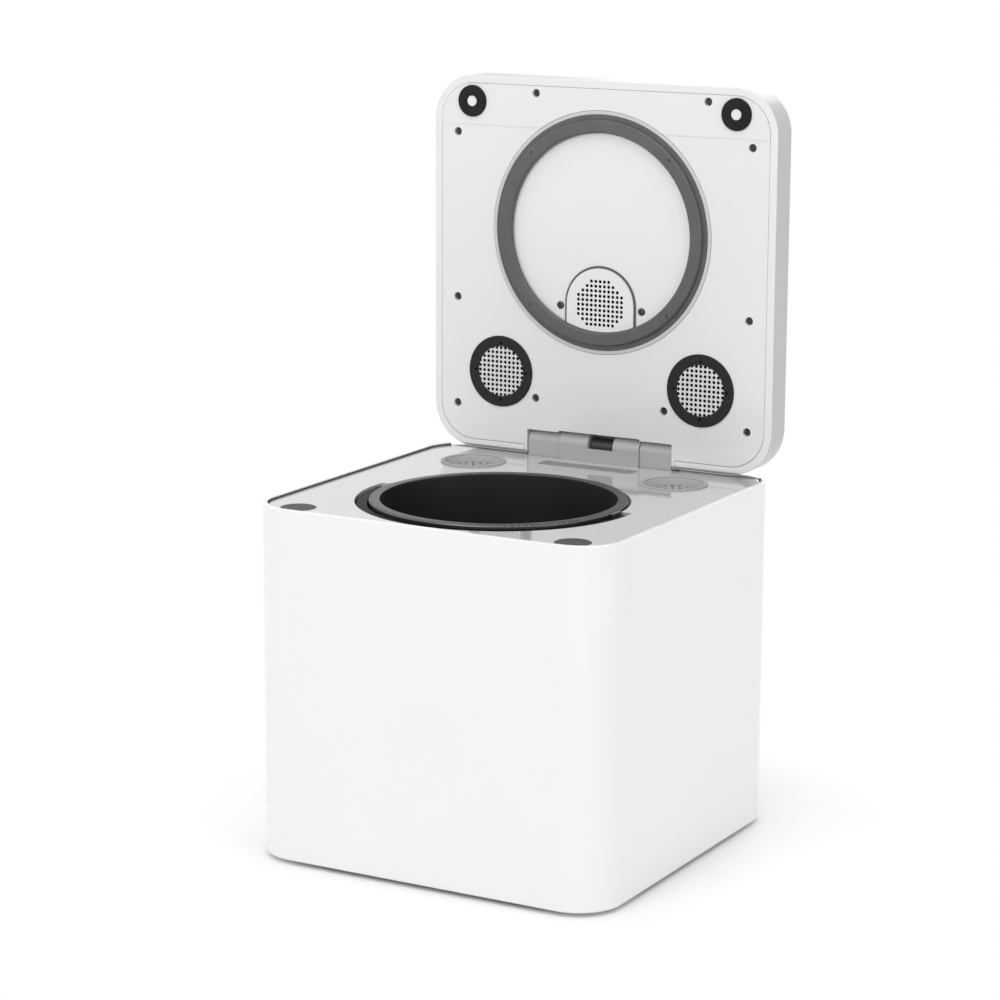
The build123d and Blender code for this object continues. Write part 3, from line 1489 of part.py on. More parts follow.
with BuildPart() as lid_screws:
    with BuildSketch(LID.offset(-panel_thickness)):
        with Locations(*lid_screw_spots):
            Circle(screw_head_diameter / 2)
    extrude(amount=screw_head_height)
    with BuildSketch(LID.offset(-panel_thickness - lid_screw_length)):
        with Locations(*lid_screw_spots):
            Circle(screw_diameter / 2)
    extrude(amount=lid_screw_length)
    with BuildSketch(LID.offset(disc_face - vent_screw_sink)):
        with Locations(*vent_screw_spots):
            Circle(screw_head_diameter / 2)
    extrude(amount=screw_head_height)
write(lid_screws, "lid_screws")

# ---------------------------------------------------------------- seal, disc and vent
carrier_lip_radius = seal_inner_radius - snug_fit - disc_lip
with BuildPart() as seal_carrier:
    with BuildSketch(LID_SECTION):
        with BuildLine():
            Polyline(
                (carrier_lip_radius, carrier_depth),
                (carrier_seat - fit, carrier_depth),
                (carrier_seat - fit, carrier_flange),
                (carrier_radius, carrier_flange),
                (carrier_radius, -carrier_proud),
                (seal_outer_radius + snug_fit, -carrier_proud),
                (seal_outer_radius + snug_fit, carrier_floor),
                (seal_inner_radius - snug_fit, carrier_floor),
                (seal_inner_radius - snug_fit, carrier_depth - carrier_lip),
                (carrier_lip_radius, carrier_depth - carrier_lip),
                close=True,
            )
        make_face()
    revolve(axis=SEAL_AXIS)
write(seal_carrier, "seal_carrier")

dimple_circle = (seal_inner_radius + seal_outer_radius) / 2
with BuildPart() as lid_seal:
    with BuildSketch(LID_SECTION):
        with BuildLine():
            FilletPolyline(
                (seal_inner_radius, carrier_floor),
                (seal_outer_radius, carrier_floor),
                (seal_outer_radius, -seal_lip_height),
                (seal_plug_radius, -seal_lip_height),
                (seal_plug_radius, -seal_plug_height),
                (seal_inner_radius, -seal_plug_height),
                radius=[0, 0, seal_lip_fillet, 0, seal_plug_fillet, seal_plug_fillet],
                close=True,
            )
        make_face()
    revolve(axis=SEAL_AXIS)
    with BuildSketch(LID.offset(seal_plug_height)):
        with Locations((0, seal_v)):
            with PolarLocations(dimple_circle, seal_dimples, start_angle=180 / seal_dimples):
                Circle(seal_dimple_diameter / 2)
    extrude(amount=-seal_dimple_depth, mode=Mode.SUBTRACT)
write(lid_seal, "lid_seal")


def vent_sketch(radius, edge):
    """Private sketch of a D-shaped vent outline, whose foot follows the disc's edge."""
    with BuildSketch(mode=Mode.PRIVATE) as outline:
        with Locations((0, vent_v)):
            Circle(radius)
        with Locations((0, vent_v - vent_radius)):
            Rectangle(2 * radius, 2 * vent_radius)
        with Locations((0, seal_v)):
            Circle(edge, mode=Mode.INTERSECT)
    return outline.sketch


with BuildPart() as lid_disc:
    with BuildSketch(LID.offset(disc_base)):
        with Locations((0, seal_v)):
            Circle(disc_radius)
        add(vent_sketch(vent_radius - vent_ledge, disc_radius - vent_foot_ledge), mode=Mode.SUBTRACT)
    extrude(amount=disc_thickness)
    with BuildSketch(LID.offset(disc_face - vent_screw_sink)):
        with Locations(*vent_screw_spots):
            Circle(screw_head_diameter / 2 + screw_sink_gap)
    extrude(amount=vent_recess_depth, mode=Mode.SUBTRACT)
write(lid_disc, "lid_disc")

with BuildPart() as vent_cover:
    with BuildSketch(LID.offset(disc_face)):
        add(vent_sketch(vent_radius, disc_radius - snug_fit))
        with Locations((0, vent_v)):
            with Locations(*vent_holes()):
                Rectangle(hole_width, hole_width, mode=Mode.SUBTRACT)
    extrude(amount=vent_cover_thickness)
write(vent_cover, "vent_cover")

with BuildPart() as vent_seal:
    with BuildSketch(LID.offset(disc_face)):
        add(vent_sketch(vent_radius + snug_fit + vent_seal_width, disc_radius - snug_fit))
        add(vent_sketch(vent_radius + snug_fit, disc_radius + vent_ledge), mode=Mode.SUBTRACT)
    extrude(amount=vent_seal_height)
write(vent_seal, "vent_seal")

# ---------------------------------------------------------------- filters, one set per side
for side, x in (("left", -port_spread), ("right", port_spread)):
    with BuildPart() as filter_bezel:
        with BuildSketch(LID.offset(close_fit)):
            with Locations((x, port_rear)):
                Circle(bezel_radius)
        extrude(amount=bezel_height)
        with BuildSketch(LID.offset(-filter_neck_depth)):
            with Locations((x, port_rear)):
                Circle(filter_neck_radius)
        extrude(amount=filter_neck_depth + close_fit)
        with BuildSketch(LID.offset(-filter_neck_depth)):
            with Locations((x, port_rear)):
                Circle(filter_neck_radius - filter_neck_wall)
        extrude(amount=filter_neck_depth - mesh_thickness, mode=Mode.SUBTRACT)
        with BuildSketch(LID.offset(-filter_neck_depth)):
            with Locations((x, port_rear)):
                Circle(mesh_radius + snug_fit)
        extrude(amount=2 * filter_neck_depth, mode=Mode.SUBTRACT)
        # One more hole on each axis of the lattice, outside the pierced plate
        with BuildSketch(LID.offset(-mesh_thickness)):
            with Locations((x, port_rear)):
                with PolarLocations((filter_hole_rings + 1) * hole_pitch, 4):
                    Circle(hole_width / 2)
        extrude(amount=2 * filter_neck_depth, mode=Mode.SUBTRACT)
    write(filter_bezel, f"{side}_filter_bezel")

    with BuildPart() as filter_mesh:
        with BuildSketch(LID.offset(-mesh_thickness)):
            with Locations((x, port_rear)):
                Circle(mesh_radius)
                with Locations(*filter_holes()):
                    Rectangle(hole_width, hole_width, mode=Mode.SUBTRACT)
        extrude(amount=mesh_thickness + mesh_proud)
    write(filter_mesh, f"{side}_filter_mesh")

    with BuildPart() as filter_cartridge:
        with BuildSketch(LID.offset(-filter_neck_depth - cartridge_height)):
            with Locations((x, port_rear)):
                Circle(cartridge_radius)
        extrude(amount=cartridge_height - snug_fit)
        chamfer(filter_cartridge.edges(), cartridge_chamfer)
    write(filter_cartridge, f"{side}_filter_cartridge")

# ---------------------------------------------------------------- hinge brackets, board, button
bracket_x = pocket_outer_half + fit
with BuildPart() as hinge_brackets:
    for side in (-1, 1):
        start = bracket_x if side > 0 else -bracket_x - bracket_barrel_width
        with BuildSketch(hinge_plane(start)):
            Circle(bracket_barrel_radius)
            with Locations((lid_thickness / 4, 0)):
                Rectangle(lid_thickness / 2, 2 * (bracket_barrel_radius - bracket_web_inset))
            with Locations((0, 0)):
                Circle(hinge_pin_diameter / 2 + close_fit, mode=Mode.SUBTRACT)
        extrude(amount=bracket_barrel_width)
        plate_x = side * (bracket_x + bracket_width / 2)
        with BuildSketch(LID.offset(-lid_thickness + lid_skin)):
            with Locations((plate_x, hinge_inset - bracket_foot + bracket_height / 2)):
                RectangleRounded(bracket_width, bracket_height, bracket_corner)
        extrude(amount=bracket_thickness)
write(hinge_brackets, "hinge_brackets")

panel_board_plane = LID.offset(-lid_thickness + lid_skin + panel_post_height)
with BuildPart() as control_board:
    with BuildSketch(panel_board_plane):
        with Locations(button_spot):
            RectangleRounded(panel_board_width, panel_board_height, panel_board_corner)
    extrude(amount=board_thickness)
    with BuildSketch(panel_board_plane.offset(board_thickness)):
        with Locations(button_spot):
            with GridLocations(2 * panel_chip_spread, 0, 2, 1):
                Rectangle(panel_chip_width, panel_chip_height)
    extrude(amount=panel_chip_thickness)
write(control_board, "control_board")

with BuildPart() as start_button:
    with BuildSketch(LID.offset(-lid_thickness - button_proud)):
        with Locations(button_spot):
            Circle(button_radius)
    extrude(amount=button_proud + lid_skin)
    fillet(start_button.edges().group_by(Axis.Y)[-1], button_fillet)
write(start_button, "start_button")

with BuildPart() as light_ring:
    with BuildSketch(LID.offset(-lid_thickness)):
        with Locations(button_spot):
            Circle(light_ring_outer)
            Circle(light_ring_inner, mode=Mode.SUBTRACT)
    extrude(amount=light_ring_depth)
write(light_ring, "light_ring")

# ================================================================ bucket
def pivot_plane(x):
    """Plane across the handle's pivot axis, local x to the rear and local y up."""
    return Plane(origin=(x, bucket_y, handle_z), x_dir=(0, 1, 0), z_dir=(1, 0, 0))


bucket_inner_bottom = mouth_radius - bucket_taper
inner_corner = bucket_corner - bucket_wall
ear_start_x = neck_outer + ear_gap
ear_end_x = ear_start_x + ear_thickness
ear_top_z = bucket_top_z - ear_sink
ear_bottom_z = handle_z - ear_drop
with BuildPart() as bucket:
    with BuildSketch(WELL_SECTION):
        with BuildLine():
            FilletPolyline(
                (bushing_radius, bucket_bottom_z),
                (bucket_inner_bottom + bucket_wall, bucket_bottom_z),
                (bucket_outer_radius, bucket_seat_z),
                (flange_radius, bucket_seat_z),
                (flange_radius, bucket_top_z),
                (mouth_radius, bucket_top_z),
                (bucket_inner_bottom, bucket_bottom_z + bucket_floor),
                (bushing_radius, bucket_bottom_z + bucket_floor),
                radius=[
                    0,
                    bucket_corner,
                    0,
                    flange_under_fillet,
                    flange_top_fillet,
                    flange_under_fillet,
                    inner_corner,
                    0,
                ],
                close=True,
            )
        make_face()
    revolve(axis=WELL_AXIS)
    # Ears outside the neck that carry the handle
    with BuildSketch(well_plane(ear_bottom_z)):
        with GridLocations(ear_start_x + ear_end_x, 0, 2, 1):
            Rectangle(ear_thickness, ear_width)
    extrude(amount=ear_top_z - ear_bottom_z)
    for start in (-ear_end_x, ear_start_x):
        with BuildSketch(pivot_plane(start)):
            Circle(handle_pivot_diameter / 2 + close_fit)
        extrude(amount=ear_thickness, mode=Mode.SUBTRACT)
write(bucket, "bucket")

arm_x = ear_end_x + ear_gap
arm_thickness_x = handle_outer_radius - arm_x
head_seat_x = handle_outer_radius - handle_head_thickness - loose_fit
with BuildPart() as handle:
    with BuildSketch(well_plane(handle_z + handle_rise)):
        Circle(handle_outer_radius)
        Circle(handle_inner_radius, mode=Mode.SUBTRACT)
        with Locations((0, handle_outer_radius)):
            Rectangle(3 * handle_outer_radius, 2 * handle_outer_radius, mode=Mode.SUBTRACT)
    extrude(amount=handle_thickness)
    fillet(handle.edges().filter_by(GeomType.CIRCLE), handle_fillet)
    # Trim the ends where the ears stand, then add the pivot bosses
    with BuildSketch(well_plane(handle_z + handle_rise)):
        Rectangle(2 * arm_x, ear_width + 2 * ear_swing_gap)
    extrude(amount=handle_thickness, mode=Mode.SUBTRACT)
    for start in (-handle_outer_radius, arm_x):
        with BuildSketch(pivot_plane(start)):
            Circle(handle_boss_radius)
            with Locations((-handle_boss_radius, handle_rise + handle_thickness / 2)):
                Rectangle(2 * handle_boss_radius, handle_thickness)
        extrude(amount=arm_thickness_x)
        with BuildSketch(pivot_plane(start)):
            Circle(handle_pivot_diameter / 2 + close_fit)
        extrude(amount=arm_thickness_x, mode=Mode.SUBTRACT)
    for start in (-handle_outer_radius, head_seat_x):
        with BuildSketch(pivot_plane(start)):
            Circle(handle_head_diameter / 2 + fit)
        extrude(amount=handle_outer_radius - head_seat_x, mode=Mode.SUBTRACT)
write(handle, "handle")

with BuildPart() as handle_pivots:
    for start in (-head_seat_x, ear_start_x):
        with BuildSketch(pivot_plane(start)):
            Circle(handle_pivot_diameter / 2)
        extrude(amount=head_seat_x - ear_start_x)
    for start in (-head_seat_x - handle_head_thickness, head_seat_x):
        with BuildSketch(pivot_plane(start)):
            Circle(handle_head_diameter / 2)
        extrude(amount=handle_head_thickness)
write(handle_pivots, "handle_pivots")

bushing_top_z = bucket_bottom_z + bushing_height
with BuildPart() as bucket_bushing:
    with BuildSketch(well_plane(bucket_bottom_z)):
        Circle(bushing_radius - close_fit)
    extrude(amount=bushing_height)
    with BuildSketch(well_plane(bucket_bottom_z + bucket_floor)):
        Circle(bushing_radius + bushing_flange)
    extrude(amount=bushing_flange_thickness)
    with BuildSketch(well_plane(bucket_bottom_z)):
        Circle(agitator_shaft_diameter / 2 + close_fit)
    extrude(amount=bushing_height, mode=Mode.SUBTRACT)
write(bucket_bushing, "bucket_bushing")

# ================================================================ agitator and breakers
hub_base_z = bushing_top_z + bushing_top_gap
hub_top_z = hub_base_z + agitator_hub_height
arm_base_z = bucket_bottom_z + bucket_floor + arm_base_gap
cup_bottom_z = bucket_bottom_z - coupling_height - coupling_gap
cup_ceiling_z = cup_bottom_z + coupling_height - coupling_floor
agitator_top_z = hub_base_z + agitator_height


def curved_arm_sketch(reach):
    """Private sketch of a pair of swept-back arms, seen from above."""
    bow = reach * arm_bow
    tip = (reach - arm_tip_slope, -arm_tip_width)
    with BuildSketch(mode=Mode.PRIVATE) as arms:
        for turn in (0, 180):
            with BuildSketch(mode=Mode.PRIVATE) as arm:
                with BuildLine():
                    outer = ThreePointArc((0, arm_width / 2), (bow, arm_width), (reach, 0))
                    inner = ThreePointArc((0, -arm_width / 2), (bow, arm_hollow), tip)
                    Line(outer @ 1, inner @ 1)
                    Line(outer @ 0, inner @ 0)
                make_face()
            add(arm.sketch, rotation=turn)
    return arms.sketch


with BuildPart() as agitator:
    # Shaft from the coupling cup up into the hub
    with BuildSketch(well_plane(cup_ceiling_z)):
        Circle(agitator_shaft_diameter / 2)
    extrude(amount=hub_top_z - cup_ceiling_z)
    with BuildSketch(well_plane(hub_base_z)):
        Circle(agitator_hub_radius)
    extrude(amount=agitator_hub_height)
    with BuildSketch(well_plane(hub_top_z)):
        Circle(agitator_hub_radius)
    with BuildSketch(well_plane(agitator_top_z)):
        Circle(agitator_column_radius)
    loft()
    fillet(agitator.edges().group_by(Axis.Z)[-1], agitator_top_fillet)
    # Skirt over the bushing that carries the lowest arms close to the floor
    with BuildSketch(well_plane(arm_base_z)):
        Circle(agitator_hub_radius + agitator_skirt_wall)
        Circle(bushing_radius + bushing_side_gap, mode=Mode.SUBTRACT)
    extrude(amount=hub_base_z + agitator_skirt_overlap - arm_base_z)
    with BuildSketch(well_plane(arm_base_z)):
        add(curved_arm_sketch(arm_length))
        Circle(agitator_hub_radius + arm_root, mode=Mode.SUBTRACT)
    extrude(amount=arm_thickness)
    for level in (1, 2):
        with BuildSketch(well_plane(arm_base_z + level * arm_spacing)):
            add(curved_arm_sketch(arm_length - level * arm_shortening), rotation=level * arm_turn)
        extrude(amount=arm_thickness)
    with BuildSketch(well_plane(cup_bottom_z)):
        Circle(coupling_radius)
    extrude(amount=coupling_height)
    with BuildSketch(well_plane(cup_bottom_z)):
        add(star_sketch(star_clearance))
    extrude(amount=coupling_height - coupling_floor, mode=Mode.SUBTRACT)
write(agitator, "agitator")

with BuildPart() as fixed_breakers:
    for level in (0, 1):
        turn = breaker_bearing + 90 * level
        height = arm_base_z + (level + 0.5) * arm_spacing + (arm_thickness - breaker_thickness) / 2
        wall_slope = bucket_taper / (bucket_height - bucket_floor)
        wall_radius = bucket_inner_bottom + (height - bucket_bottom_z - bucket_floor) * wall_slope
        with BuildSketch(well_plane(height)):
            with PolarLocations(wall_radius, 2, start_angle=turn):
                RectangleRounded(2 * breaker_reach, breaker_width, breaker_corner)
            Circle(wall_radius - close_fit, mode=Mode.INTERSECT)
        extrude(amount=breaker_thickness)
write(fixed_breakers, "fixed_breakers")
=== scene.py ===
import json
import logging
import math
from collections.abc import Callable, Iterable, Mapping
from dataclasses import dataclass, field
from enum import Enum
from typing import Any

import bmesh
import bpy
from mathutils import Matrix, Vector


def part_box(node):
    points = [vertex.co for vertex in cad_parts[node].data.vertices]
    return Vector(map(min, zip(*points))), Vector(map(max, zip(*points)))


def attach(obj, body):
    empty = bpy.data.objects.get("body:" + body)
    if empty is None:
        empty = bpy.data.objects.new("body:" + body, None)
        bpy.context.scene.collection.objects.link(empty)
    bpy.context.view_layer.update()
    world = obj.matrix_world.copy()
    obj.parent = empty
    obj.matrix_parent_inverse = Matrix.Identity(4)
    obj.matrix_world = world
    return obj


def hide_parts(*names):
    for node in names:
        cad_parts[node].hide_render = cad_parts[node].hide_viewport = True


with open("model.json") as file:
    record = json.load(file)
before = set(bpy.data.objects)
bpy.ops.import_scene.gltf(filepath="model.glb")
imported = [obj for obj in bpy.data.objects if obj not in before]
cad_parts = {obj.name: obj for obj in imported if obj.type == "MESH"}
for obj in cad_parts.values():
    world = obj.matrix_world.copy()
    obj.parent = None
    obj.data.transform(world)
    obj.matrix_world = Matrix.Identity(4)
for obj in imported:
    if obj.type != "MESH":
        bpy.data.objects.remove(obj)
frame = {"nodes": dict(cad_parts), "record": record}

# Countertop food waste composter with its lid standing open, in metres, in the CAD's frame.
MM = 0.001
LOG = logging.getLogger("composter")

Mesh = bpy.types.Mesh
Piece = bpy.types.Object
Material = bpy.types.Material
Colour = tuple[float, float, float]
Point = tuple[float, float, float]
Spot = tuple[float, float]

# Tolerances for copied meshes, shading angles in degrees, and steps of round forms.
WELD = 0.002 * MM
SLIVER = 0.0005 * MM
LEVEL_TOLERANCE = 0.01 * MM
FLAT_ANGLE = 0.2
SMOOTH_ANGLE = 32.0
ROUND_ANGLE = 40.0
HOLE_ANGLE = 30.0
SCREW_ANGLE = 25.0
TOOTH_ANGLE = 20.0
CORNER_STEPS = 24
ROUND_STEPS = 96
DRILL_SIDES = 14
HEAD_SIDES = 32
SHANK_SIDES = 16

BODY_OF = {
    node: body for body, nodes in frame["record"]["behaviour"]["bodies"].items() for node in nodes
}


# ---- node trees as expressions
def operator(operation: str, swapped: bool = False) -> Callable[..., "Sock"]:
    """Make a Python operator that adds a Math node.

    Args:
        operation: Blender's name of the operation.
        swapped: whether the socket is the operation's second value.

    Returns:
        The operator's method.
    """

    def method(sock: "Sock", *others: Any) -> "Sock":
        """Add the Math node and return its value."""
        values = (*others, sock) if swapped else (sock, *others)
        settings = {"operation": operation}
        return sock.owner.add("ShaderNodeMath", settings, dict(enumerate(values)))

    return method


class Sock:
    """Output socket of a node; Python's operators on it add Math nodes.

    A comparison gives one or zero, and | takes the larger value, which joins masks.
    """

    __add__ = operator("ADD")
    __radd__ = operator("ADD", swapped=True)
    __sub__ = operator("SUBTRACT")
    __rsub__ = operator("SUBTRACT", swapped=True)
    __mul__ = operator("MULTIPLY")
    __rmul__ = operator("MULTIPLY", swapped=True)
    __truediv__ = operator("DIVIDE")
    __pow__ = operator("POWER")
    __lt__ = operator("LESS_THAN")
    __gt__ = operator("GREATER_THAN")
    __or__ = operator("MAXIMUM")
    __abs__ = operator("ABSOLUTE")

    def __init__(self, owner: "Tree", socket: bpy.types.NodeSocket) -> None:
        """Keep the tree and the socket."""
        self.owner = owner
        self.socket = socket


class Tree:
    """Node tree of a material, the world or a geometry modifier."""

    def __init__(self, tree: bpy.types.NodeTree) -> None:
        """Empty the tree that is to be filled."""
        self.tree = tree
        self.tree.nodes.clear()

    def add(
        self,
        kind: str,
        settings: Mapping[str, Any] | None = None,
        inputs: Mapping[int | str, Any] | None = None,
        output: int | str = 0,
    ) -> Sock:
        """Add a node, set it and join it.

        Args:
            kind: Blender's name of the node's type.
            settings: the node's own settings, with a ramp's stops under "stops".
            inputs: values or sockets by the input's name or number.
            output: name or number of the output that is wanted.

        Returns:
            That output.
        """
        node = self.tree.nodes.new(kind)
        for key, value in (settings or {}).items():
            if key == "stops":
                self.set_stops(node, value)
            else:
                setattr(node, key, value)
        for key, value in (inputs or {}).items():
            values = value if isinstance(value, list) else [value]
            for one in values:
                if isinstance(one, Sock):
                    self.tree.links.new(one.socket, node.inputs[key])
                else:
                    node.inputs[key].default_value = one
        return Sock(self, node.outputs[output]) if node.outputs else Sock(self, None)

    @staticmethod
    def set_stops(node: bpy.types.Node, stops: Iterable[tuple[float, float]]) -> None:
        """Give a ramp its stops, each a place and a grey level, in rising order."""
        ramp = node.color_ramp.elements
        for number, (place, level) in enumerate(stops):
            stop = ramp[number] if number < 2 else ramp.new(place)
            stop.position = place
            stop.color = (level, level, level, 1.0)

    def split(self, vector: Sock) -> tuple[Sock, Sock, Sock]:
        """Return the three numbers of a vector."""
        parts = self.add("ShaderNodeSeparateXYZ", inputs={0: vector}).socket.node
        return tuple(Sock(self, output) for output in parts.outputs)


class Shader(Tree):
    """Material under construction, with the textures that the finishes share."""

    def __init__(self, name: str) -> None:
        """Start an empty material."""
        self.material = bpy.data.materials.new(name)
        self.material.use_nodes = True
        super().__init__(self.material.node_tree)
        self.place = self.add("ShaderNodeTexCoord", output="Object")

    def stretched(self, scale: Point) -> Sock:
        """Return the place on the piece, scaled along each axis."""
        return self.add("ShaderNodeMapping", inputs={"Vector": self.place, "Scale": scale})

    def noise(self, size: float, detail: float = 2.0, place: Sock | None = None) -> Sock:
        """Add a noise.

        Args:
            size: size of its features.
            detail: how many finer layers it has.
            place: coordinates, or None for the place on the piece.

        Returns:
            Its value, from 0 to 1.
        """
        where = place or self.place
        return self.add(
            "ShaderNodeTexNoise", inputs={"Vector": where, "Scale": 1.0 / size, "Detail": detail}
        )

    def cells(self, size: float, feature: str = "F1") -> Sock:
        """Return the distance value of a cell pattern whose cells have a size."""
        settings = {"feature": feature}
        inputs = {"Vector": self.place, "Scale": 1.0 / size}
        return self.add("ShaderNodeTexVoronoi", settings, inputs)

    def ramp(self, value: Sock, stops: Iterable[tuple[float, float]]) -> Sock:
        """Return a value sent through a ramp of grey levels."""
        return self.add("ShaderNodeValToRGB", {"stops": stops}, {"Fac": value})

    def blend(self, share: Any, first: Any, second: Any) -> Sock:
        """Mix two colours.

        Args:
            share: how much of the second colour there is.
            first: a colour or a colour socket.
            second: a colour or a colour socket.

        Returns:
            The mixed colour.
        """
        pick = [c if isinstance(c, Sock) else (*c, 1.0) for c in (first, second)]
        inputs = {0: share, 6: pick[0], 7: pick[1]}
        return self.add("ShaderNodeMix", {"data_type": "RGBA"}, inputs, output=2)

    def bump(self, height: Sock, depth: float, below: Sock | None = None) -> Sock:
        """Add a relief.

        Args:
            height: its height, from 0 to 1.
            depth: what a height of 1 stands for, in metres.
            below: the normal of a relief that lies under it.

        Returns:
            The normal.
        """
        inputs = {"Height": height, "Distance": depth, "Strength": 1.0}
        if below is not None:
            inputs["Normal"] = below
        return self.add("ShaderNodeBump", inputs=inputs)

    @staticmethod
    def uneven(roughness: float, fine: Sock) -> Sock:
        """Return a roughness that a fine grain moves up and down a little."""
        return roughness * (1.0 - ROUGHNESS_SPREAD / 2 + ROUGHNESS_SPREAD * fine)

    def surface(self, **inputs: Any) -> Material:
        """Return the material, closed with a Principled shader; _ stands for a space."""
        named = {key.replace("_", " "): value for key, value in inputs.items()}
        if isinstance(named.get("Base Color"), tuple):
            named["Base Color"] = (*named["Base Color"], 1.0)
        closed = self.add("ShaderNodeBsdfPrincipled", inputs=named)
        self.add("ShaderNodeOutputMaterial", inputs={"Surface": closed})
        return self.material


# ---- finishes
FLOW_SIZE = 70 * MM
WAVE_SIZE = 28 * MM
COAT_ROUGHNESS = 0.03
ROUGHNESS_SPREAD = 0.12


class Finish:
    """What a surface is made of; its material is made once and then shared."""

    made: dict[str, Material] = {}

    def material(self) -> Material:
        """Return the finish's material."""
        if self.name not in Finish.made:
            Finish.made[self.name] = self.make(Shader(self.name))
        return Finish.made[self.name]


@dataclass(frozen=True)
class Moulding(Finish):
    """Moulded plastic: a colour that drifts faintly, a skin gloss and an eroded grain."""

    name: str
    colour: Colour
    roughness: float = 0.35
    coat: float = 0.0
    grain: float = 0.5 * MM
    depth: float = 0.004 * MM
    wave: float = 0.0
    drift: float = 0.02
    shine: float = 0.5

    def tint(self, shader: Shader) -> Sock:
        """Return the colour, which drifts faintly."""
        dark = tuple(c * (1.0 - self.drift) for c in self.colour)
        return shader.blend(shader.noise(FLOW_SIZE, 1.0), self.colour, dark)

    def make(self, shader: Shader) -> Material:
        """Build the material."""
        fine = shader.noise(self.grain)
        relief = shader.bump(fine, self.depth)
        if self.wave:
            relief = shader.bump(shader.noise(WAVE_SIZE, 0.0), self.wave, relief)
        return shader.surface(
            Base_Color=self.tint(shader),
            Roughness=shader.uneven(self.roughness, fine),
            Specular_IOR_Level=self.shine,
            Coat_Weight=self.coat,
            Coat_Roughness=COAT_ROUGHNESS,
            Normal=relief,
        )


@dataclass(frozen=True)
class RimmedMoulding(Moulding):
    """Moulded cover whose rim face, in front of a plane across Y, has a colour of its own."""

    rim: Colour = (1.0, 1.0, 1.0)
    plane_y: float = 0.0

    def tint(self, shader: Shader) -> Sock:
        """Return the outside's colour, with the rim's colour in front of the plane."""
        _, y, _ = shader.split(shader.place)
        return shader.blend(y < self.plane_y, super().tint(shader), self.rim)


@dataclass(frozen=True)
class Rubber(Finish):
    """Silicone or rubber: dull, with fine pores and a little dust."""

    name: str
    colour: Colour
    roughness: float = 0.55
    dust: float = 0.12
    shine: float = 0.5
    pore: float = 0.35 * MM
    patch: float = 14 * MM
    depth: float = 0.01 * MM
    dust_colour: float = 0.5
    veil: float = 0.12

    def make(self, shader: Shader) -> Material:
        """Build the material."""
        pores = shader.noise(self.pore, 3.0)
        patches = shader.ramp(shader.noise(self.patch, 3.0), ((0.45, 0.0), (0.75, 1.0)))
        dusty = tuple(c + self.veil * (self.dust_colour - c) for c in self.colour)
        return shader.surface(
            Base_Color=shader.blend(patches * self.dust * 3.0, self.colour, dusty),
            Roughness=self.roughness + 0.1 * pores,
            Specular_IOR_Level=self.shine,
            Normal=shader.bump(pores, self.depth),
        )


class Grain(Enum):
    """Direction in which a metal was brushed or turned, as the stretch of its grain."""

    ALONG_X = (0.02, 1.0, 1.0)
    ROUND_Z = (0.03, 0.03, 1.0)
    CAST = (1.0, 1.0, 1.0)


@dataclass(frozen=True)
class Metal(Finish):
    """Bare metal with its grain."""

    name: str
    colour: Colour
    roughness: float = 0.3
    grain: Grain = Grain.ALONG_X
    size: float = 0.25 * MM
    depth: float = 0.004 * MM
    cloud: float = 18 * MM
    shade: float = 0.82

    def make(self, shader: Shader) -> Material:
        """Build the material."""
        lines = shader.noise(self.size, 3.0, shader.stretched(self.grain.value))
        cloud = shader.noise(self.cloud)
        dull = tuple(c * self.shade for c in self.colour)
        return shader.surface(
            Base_Color=shader.blend(lines * 0.6 + cloud * 0.3, self.colour, dull),
            Metallic=1.0,
            Roughness=self.roughness + 0.18 * lines - 0.06 * cloud,
            Normal=shader.bump(lines, self.depth),
        )


@dataclass(frozen=True)
class Coating(Finish):
    """Dark, speckled non-stick coating; the bare metal shows at the flange's edge."""

    name: str
    colour: Colour
    bare_edge_highlight: Colour
    axis_y: float
    edge_radius: float
    edge_highlight_width: float
    top_z: float
    roughness: float = 0.3
    speck: float = 0.9 * MM
    grain: float = 0.6 * MM
    depth: float = 0.012 * MM

    def make(self, shader: Shader) -> Material:
        """Build the material."""
        x, y, z = shader.split(shader.place)
        deep = y - self.axis_y
        radius = (x * x + deep * deep) ** 0.5
        # Band at the flange's outer edge: unpainted metal, and a painted highlight line.
        rim = (radius > self.edge_radius - self.edge_highlight_width) * (z > self.top_z)
        speckle = shader.ramp(shader.cells(self.speck), ((0.1, 1.0), (0.22, 0.0)))
        light = tuple(min(1.0, c * 2.2 + 0.02) for c in self.colour)
        coat = shader.blend(speckle * 0.35, self.colour, light)
        fine = shader.noise(self.grain, 3.0)
        return shader.surface(
            Base_Color=shader.blend(rim, coat, self.bare_edge_highlight),
            Metallic=rim * 0.9,
            Roughness=self.roughness + 0.12 * fine - rim * 0.08,
            Normal=shader.bump(fine, self.depth),
        )


@dataclass(frozen=True)
class Fleece(Finish):
    """Felted fibres, as on a filter pad or round the well."""

    name: str
    colour: Colour
    fibre: float = 0.5 * MM
    clump: float = 5 * MM
    depth: float = 0.25 * MM

    def make(self, shader: Shader) -> Material:
        """Build the material."""
        strands = shader.noise(self.fibre, 6.0, shader.stretched((1.0, 0.35, 0.6)))
        clumps = shader.noise(self.clump, 3.0)
        pale = tuple(min(1.0, c * 1.7 + 0.03) for c in self.colour)
        return shader.surface(
            Base_Color=shader.blend(strands * 0.7 + clumps * 0.3 - 0.2, self.colour, pale),
            Roughness=0.92,
            Sheen_Weight=0.3,
            Normal=shader.bump(strands + clumps * 0.6, self.depth),
        )


